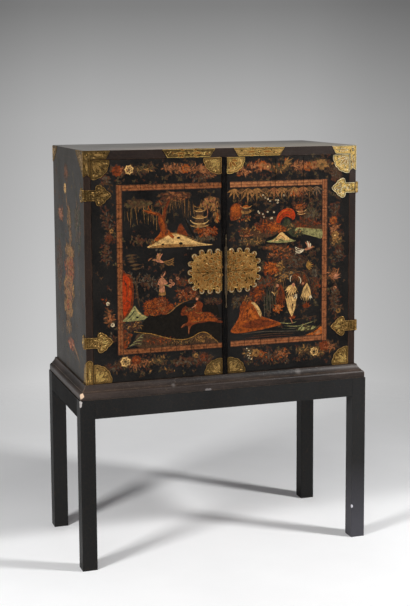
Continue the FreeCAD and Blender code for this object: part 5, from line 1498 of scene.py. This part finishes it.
# %% Case ends
END_TWIGS = [
    [(97, 1030), (92, 990), (88, 950)], [(150, 1306), (144, 1290), (137, 1270)],
    [(112, 1236), (106, 1210), (96, 1190)], [(70, 930), (80, 900), (76, 868)],
    [(330, 770), (344, 740), (372, 716)],
]
END_LEAVES = [
    ("maroon umber rose", (262, 1290), 26, 28, 26, 24, 90),
    ("umber olive tan", (226, 1140), 34, 44, 70, 22, 100),
    ("umber grey tan", (206, 1070), 22, 34, 40, 20, 100),
    ("maroon rose salmon", (366, 1156), 40, 22, 26, 26, 200),
    ("umber gold tan", (222, 1024), 74, 22, 60, 26, 90),
    ("umber rust tan", (226, 962), 78, 44, 110, 28, 90),
    ("umber gold salmon", (244, 890), 84, 50, 120, 28, 90),
    ("umber gold tan", (256, 826), 72, 34, 80, 26, 90), ("umber olive tan", (256, 766), 44, 30, 46, 24, 90),
    ("maroon rust pink", (214, 720), 52, 16, 34, 26, -20),
    ("umber maroon grey", (390, 960), 44, 90, 60, 26, 90),
    ("umber moss grey", (90, 1120), 44, 90, 40, 26, 90),
]
END_FLOWERS = [
    ((280, 1245), 17, "cream", "brick"), ((208, 975), 24, "rust", "gold"), ((236, 912), 22, "tan", "rust"),
    ((262, 846), 20, "orange", "umber"), ((366, 1152), 17, "pink", "maroon"),
]


def case_end(sheet):
    """A tall column of leaves and blossoms; u runs from the front edge to the back."""
    sheet.sprigs("umber moss olive", (30, 640), (440, 1350), 110, 26)
    sheet.stroke("umber", "262,1236 262,1205 238,1170 222,1120 208,1060 214,1030", 12, 1)
    sheet.stroke("tan", "262,1230 260,1205 240,1172 226,1130 212,1080 206,1046", 7, 2)
    sheet.stroke("grey", "413,1058 370,1050 331,1020 318,980", 5, 1)
    sheet.stroke("tan", "240,736 190,715 146,700 95,673", 10, 2)
    for points in END_TWIGS:
        sheet.stroke("grey", points, 8, 1)
        sheet.leaf("grey", points[1], 60, 26, 10, 2)
    for mix, centre, wide, high, count, length, aim in END_LEAVES:
        sheet.growth(mix, centre, wide, high, count, length, 1, aim, 40)
    for centre, radius, paint, heart in END_FLOWERS:
        sheet.flower(centre, radius, 7, paint, heart, 7, 15, "umber")
    return sheet.faces()


print("ends:", case_end(left_end), "and", case_end(right_end), "faces")

# %% [markdown]
# ## Hanging the painting
#
# So far the coats are lists of points and faces. Every shape could have become an object as it was drawn,
# at the price of thousands of them. Hung all at once, each paint of a sheet is one closed mesh with one
# material, and it turns with its door.

# %% Hang the painting
for sheet in (left, right, left_end, right_end):
    print(sheet.name, "has", sheet.hang(), "faces in", len(sheet.coats), "paints")

# %% [markdown]
# ## Outlines of the plates
#
# The mounts were sawn from sheet brass, then chased, with a raised border along the edge. That edge could
# be typed in again, but it's already in the solid: an edge of the flat front that belongs to only one face
# lies on the outline. So the border is made from those.

# %% Find the outlines
NAIL_HOLE = 8.0   # outlines narrower than this belong to nail holes, mm


def outer_edges(faces, vertices, across):
    """For each corner on the outline of some faces, the corners beside it on that outline, in mm."""
    uses = {}
    for face in faces:
        corners = [vertices[number].co for number in face.vertices]
        keys = [(round(corner[across] / MM, 2), round(corner.z / MM, 2)) for corner in corners]
        for edge in zip(keys, keys[1:] + keys[:1]):
            uses[frozenset(edge)] = uses.get(frozenset(edge), 0) + 1
    beside = {}
    for edge in (edge for edge, count in uses.items() if count == 1 and len(edge) == 2):
        a, b = edge
        beside.setdefault(a, []).append(b)
        beside.setdefault(b, []).append(a)
    return beside


def face_outlines(node, axis, side):
    """Outlines of a plate's flat faces that look along an axis, in mm, and the level they share."""
    mesh, areas = nodes[node].data, {}
    for face in mesh.polygons:
        if face.normal[axis] * side > 0.99:
            areas.setdefault(round(face.center[axis], 5), []).append(face)
    level = max(areas, key=lambda key: sum(face.area for face in areas[key]))
    beside = outer_edges(areas[level], mesh.vertices, 1 - axis)
    plates = []
    while beside:
        here, loop = next(iter(beside)), []
        while here in beside:
            loop.append(Vector(here))
            here = next((point for point in beside.pop(here) if point in beside), None)
        widths = [point.x for point in loop]
        if max(widths) - min(widths) > NAIL_HOLE:
            plates.append(loop)
    return sorted(plates, key=lambda loop: min(point.x for point in loop)), level


def inside(ring, point):
    """True if a line from the point to the right crosses the ring an odd number of times."""
    crossings = 0
    for here, there in zip(ring, ring[1:] + ring[:1]):
        if (here.y > point.y) != (there.y > point.y):
            crossings += point.x < here.x + (point.y - here.y) * (there.x - here.x) / (there.y - here.y)
    return crossings % 2 == 1


print("outline of the left lock plate has", len(face_outlines("escutcheon_left", 1, -1)[0][0]), "points")

# %% [markdown]
# ## Engraved brass
#
# Chased leaves stand a little proud and keep a dark line round them where the dirt stays. A bump could fake
# that, but not when seen from the side. So leaves are shapes: dark brass first, then smaller ones in
# brighter and browner brass on top.

# %% Chasing tools
RIM_AND_HEART = {"bright": ("pale", "old"), "old": ("bright", "brown"), "worn": ("old", "bright"),
                 "warm": ("old", "brown"), "dull": ("worn", "old")}


class Relief(Sheet):
    """Chasing on brass plates; it moves from plate to plate and gathers what rides on one body."""

    def lay_on(self, node, axis, side, number=0):
        """Move to one plate of a node, on its faces that look along an axis, and return its outline."""
        self.rim, self.heart = RIM_AND_HEART[polish_and_light_of(node)]
        loops, level = face_outlines(node, axis, side)
        if axis == 1:
            self.place = lambda u, v, lift: Vector((u * MM, level + side * lift * MM, v * MM))
        else:
            self.place = lambda u, v, lift: Vector((level + side * lift * MM, u * MM, v * MM))
        us, vs = [point.x for point in loops[number]], [point.y for point in loops[number]]
        self.low, self.high = Vector((min(us), min(vs))), Vector((max(us), max(vs)))
        return loops[number]

    def at(self, across, up):
        """A point by its shares of the plate's width and height."""
        wide, high = self.high.x - self.low.x, self.high.y - self.low.y
        return Vector((self.low.x + wide * across, self.low.y + high * up))

    def border(self, ring, wide=2.2):
        """A raised rim along the edge and a dark line inside it."""
        for paint, depth, width, coat in ((self.rim, 0.55, wide, 5), ("dark", 1.75, wide * 0.7, 1)):
            line = inset(ring, wide * depth)
            self.stroke(paint, line + line[:1], width, coat, (1, 1), 1)

    def engrave(self, ring, pitch=8):
        """Small curled leaves in rows over the whole plate, wherever there is room for one."""
        room, dice = inset(ring, 4.5), random.Random(f"{self.name} {self.low.x:.0f} {self.low.y:.0f}")
        for row in range(1, int((self.high.y - self.low.y) / pitch) + 1):
            for column in range(int((self.high.x - self.low.x) / pitch) + 1):
                spot = self.low + Vector((pitch * (column + row % 2 / 2), pitch * row))
                angle, shade = dice.uniform(0, 360), dice.choice((self.rim, self.rim, self.heart, "dark"))
                bend, coat = dice.uniform(-60, 60), 1 + (row + column) % 3
                if inside(room, spot) and inside(room, away(spot, angle, pitch)):
                    self.leaf(shade, spot, angle, pitch * 1.15, pitch * 0.5, coat, bend, steps=1)

    def petal(self, base, angle, length, width, coat=4, bend=0):
        """A leaf with a pale rim, a brown middle and a dark vein."""
        middle = away(base, angle, length * 0.12)
        vein = [away(base, angle, length * far) for far in (0.1, 0.7)]
        self.leaf("dark", away(base, angle, -1), angle, length * 1.04, width * 1.14, coat, bend, 1.1)
        self.leaf(self.rim, base, angle, length, width, coat + 1, bend, 1.1)
        self.leaf(self.heart, middle, angle, length * 0.78, width * 0.72, coat + 2, bend, 1.1)
        self.stroke("dark", vein, 1.2, coat + 3, (1, 0.2), 1)

    def ringed(self, centre, radius):
        """A round boss with a dark ring."""
        self.blob("dark", centre, radius, coat=4, points=10)
        self.blob(self.rim, centre, radius * 0.6, coat=6, points=10)


chased = dict(BRASSES, hole=paints["black"])
left_brass = Relief("left_door_brass", "left_door", "engraved_brass", front, chased)
right_brass = Relief("right_door_brass", "right_door", "engraved_brass", front, chased)
case_brass = Relief("case_brass", "cabinet", "engraved_brass", front, chased)
print("Relief can", [name for name in vars(Relief) if name[0] != "_"])

# %% [markdown]
# ## Lock plate
#
# The two halves of the lock plate make one lobed sun when the doors are shut. The places of its lobes could
# be read off one by one, but a walk along a rounded rectangle in equal steps gives them all. Between the
# lobes the plate is pierced. Real holes would need the solid to be cut again, and black dabs in the highest
# coat look the same. One function draws both halves and mirrors every place and direction.

# %% Chase the lock plate
LOCK_Z = 973.0
SUN_REACH, SUN_HALF, SUN_CORNER, SUN_LOBES = 112.0, 67.0, 50.0, 11


def sun_edge(share):
    """Point on the half rounded rectangle that the lobes follow, and the direction that faces out there."""
    flat, side, bend = SUN_REACH - SUN_CORNER, 2 * (SUN_HALF - SUN_CORNER), math.pi / 2 * SUN_CORNER
    run = share * (2 * flat + side + 2 * bend)
    for sign, here in ((1, run), (-1, 2 * flat + side + 2 * bend - run)):
        if here < flat:
            return Vector((here, sign * SUN_HALF)), sign * 90
        if here < flat + bend:
            angle = 90 - math.degrees((here - flat) / SUN_CORNER)
            point = away((flat, SUN_HALF - SUN_CORNER), angle, SUN_CORNER)
            return Vector((point.x, sign * point.y)), sign * angle
    return Vector((SUN_REACH, SUN_HALF - SUN_CORNER - (run - flat - bend))), 0


CURLS = ((-150, -80, -20, 40, 80), (-100, -60, 0, 60, 140))
LEAF_RINGS = ((80, 20, 9, 48, 36, 19), (72, 24, 7, 26, 30, 16), (80, 40, 5, 8, 24, 13))


def chase_lock(sheet, node, sign, meeting):
    """Chase one half of the lock plate; sign is -1 on the left door and 1 on the right one."""
    ring = sheet.lay_on(node, 1, -1)
    sheet.border(ring, 2.4)
    sheet.engrave(ring, 10)

    def at(point):
        return Vector((meeting + sign * point.x, LOCK_Z + point.y))

    def aim(angle):
        return angle if sign > 0 else 180 - angle

    for number in range(SUN_LOBES):
        point, out = sun_edge((number + 0.5) / SUN_LOBES)
        curl = [at(away(point, out + turn, 6.4)) for turn in CURLS[number % 2]]
        sheet.stroke("pale", curl, 2.6, 9, (0.3, 0.9))
        sheet.leaf("brown", at(away(point, out + 180, 8)), aim(out), 12, 5, 7, steps=1)
    for number in range(1, SUN_LOBES):
        point, out = sun_edge(number / SUN_LOBES)
        hole = away(point, out + 180, 3)
        sheet.blob("hole", at(hole), 4.6, coat=9, points=8)
        bow = [at(away(hole, out + 180 + turn, 6)) for turn in (-70, -30, 30, 70)]
        sheet.stroke("bright", bow, 2.2, 9, (0.4, 0.4))
    for first, step, count, near, far, width in LEAF_RINGS:
        for number in range(count):
            angle = first - step * number
            flat = 1 - 0.3 * abs(math.sin(math.radians(angle)))
            sheet.petal(at(away((0, 0), angle, near * flat)), aim(angle), far * flat, width, 5)
    sheet.stroke("dark", [at(Vector((4, -3))), at(Vector((100, -1)))], 2.2, 10, (1, 0.3))


chase_lock(left_brass, "escutcheon_left", -1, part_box("escutcheon_left")[1].x / MM)
chase_lock(right_brass, "escutcheon_right", 1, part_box("escutcheon_right")[0].x / MM)
print("lock plate:", left_brass.faces(), "faces in its left half")

# %% [markdown]
# ## Hinges and door mounts
#
# The same border and leaves go on every other plate. Each could be drawn on its own, but they were cut from
# a few patterns. So a motif is placed by shares of its plate's width and height: one drawing fits large and
# small plates, and a mirrored share turns it for the other side.

# %% Chase the doors' plates
def chase(sheet, node, axis, side, petals, rings=(), lines=(), flip=False, number=0, wide=2.2):
    """Border, leaves, ringed dots and dark lines on one plate, placed by shares of its size."""
    ring = sheet.lay_on(node, axis, side, number)
    sheet.border(ring, wide)
    sheet.engrave(ring)

    def at(across, up):
        return sheet.at(1 - across if flip else across, up)

    for across, up, angle, length, width in petals:
        sheet.petal(at(across, up), 180 - angle if flip else angle, length, width)
    for across, up, radius in rings:
        sheet.ringed(at(across, up), radius)
    for first, second in lines:
        sheet.stroke("dark", [at(*first), at(*second)], 1.5, 5, (1, 1), 1)


def spread(across, up, width, *rays):
    """Petals of one width that leave one place; each ray is an angle and a length."""
    return [(across, up, angle, length, width) for angle, length in rays]


STRAP_PETALS = [(0.5, 0.5, 0, 36, 13), (0.6, 0.6, 52, 18, 9), (0.6, 0.4, -52, 18, 9)]
STRAP_LINES = [((share, 0.32), (share, 0.68)) for share in (0.12, 0.17, 0.24)]


def chase_door(sheet, name, flip):
    """Both straps and all four corner mounts of one door."""
    for level, turn, up in (("top", -1, 1), ("bottom", 1, 0)):
        rings = [(0.44, 0.5, 3.4), (0.3, 0.5, 3)]
        chase(sheet, f"hinge_strap_{level}_{name}", 1, -1, STRAP_PETALS, rings, STRAP_LINES, flip)
        petals = spread(0.12, up + turn * 0.12, 13, (turn * 14, 40), (turn * 45, 46), (turn * 76, 38))
        rings = [(0.7, up + turn * 0.32, 2.4), (0.32, up + turn * 0.7, 2.4)]
        for column, mirrored in (("outer", flip), ("inner", not flip)):
            chase(sheet, f"mount_{name}_{level}_{column}", 1, -1, petals, rings, (), mirrored)


def chase_corner(name, end, flip):
    """The corner mounts and hinge leaves at one end of the case."""
    corner = f"corner_mount_front_{name}"
    chase(case_brass, corner, 1, -1, [(0.3, 0.84, 0, 48, 12), (0.13, 0.62, -90, 40, 11)],
          [(0.14, 0.84, 5), (0.9, 0.86, 2.2)], (), flip, wide=1.8)
    chase(case_brass, corner, 0, end, spread(0.1, 0.86, 14, (-12, 66), (-38, 56), (-66, 46)),
          [(0.7, 0.6, 2.6), (0.42, 0.4, 2.6)])
    chase(case_brass, f"corner_mount_back_{name}", 0, end,
          spread(0.1, 0.86, 13, (-14, 46), (-45, 44), (-72, 34)), flip=True)
    for level in ("top", "bottom"):
        chase(case_brass, f"hinge_leaf_{level}_{name}", 0, end, [(0.4, 0.5, 0, 26, 11)], [(0.3, 0.5, 3)])


chase_door(left_brass, "left", False)
chase_corner("left", -1, False)
chase_door(right_brass, "right", True)
chase_corner("right", 1, True)
print("doors' brass:", left_brass.faces() + right_brass.faces(), "faces")

# %% [markdown]
# ## Plates on the top and at the foot
#
# Two plates with bevelled ends clasp the front edge of the top, and one mount holds the lower left corner.
# The hinges' pattern could serve, but a long, low plate wants a spray that grows both ways from its middle,
# and a tall one a leaf that stands up.

# %% Chase the last plates
BAND_PETALS = [(0.5, 0.5, 0, 58, 11), (0.5, 0.5, 180, 58, 11), (0.56, 0.72, 22, 26, 8),
               (0.44, 0.72, 158, 26, 8), (0.56, 0.28, -22, 26, 8), (0.44, 0.28, 202, 26, 8)]
BAND_RINGS = [(0.5, 0.5, 5.5), (0.86, 0.6, 2.4), (0.14, 0.6, 2.4)]
FOOT = "corner_mount_foot_left"

for number in (0, 1):
    chase(case_brass, "band_mounts", 1, -1, BAND_PETALS, BAND_RINGS, number=number)
chase(case_brass, FOOT, 1, -1, [(0.5, 0.1, 90, 52, 11)], [(0.5, 0.78, 3)], wide=1.8)
chase(case_brass, FOOT, 0, -1, [(0.3, 0.12, 78, 44, 12)], [(0.45, 0.12, 3)])
for sheet in (left_brass, right_brass, case_brass):
    print(sheet.name, "has", sheet.hang(), "faces")

# %% [markdown]
# ## Size of the dressed cabinet
#
# Paint and chasing are thin, so the dressed cabinet is hardly larger than its solids. Half a millimetre
# can't be seen by eye.
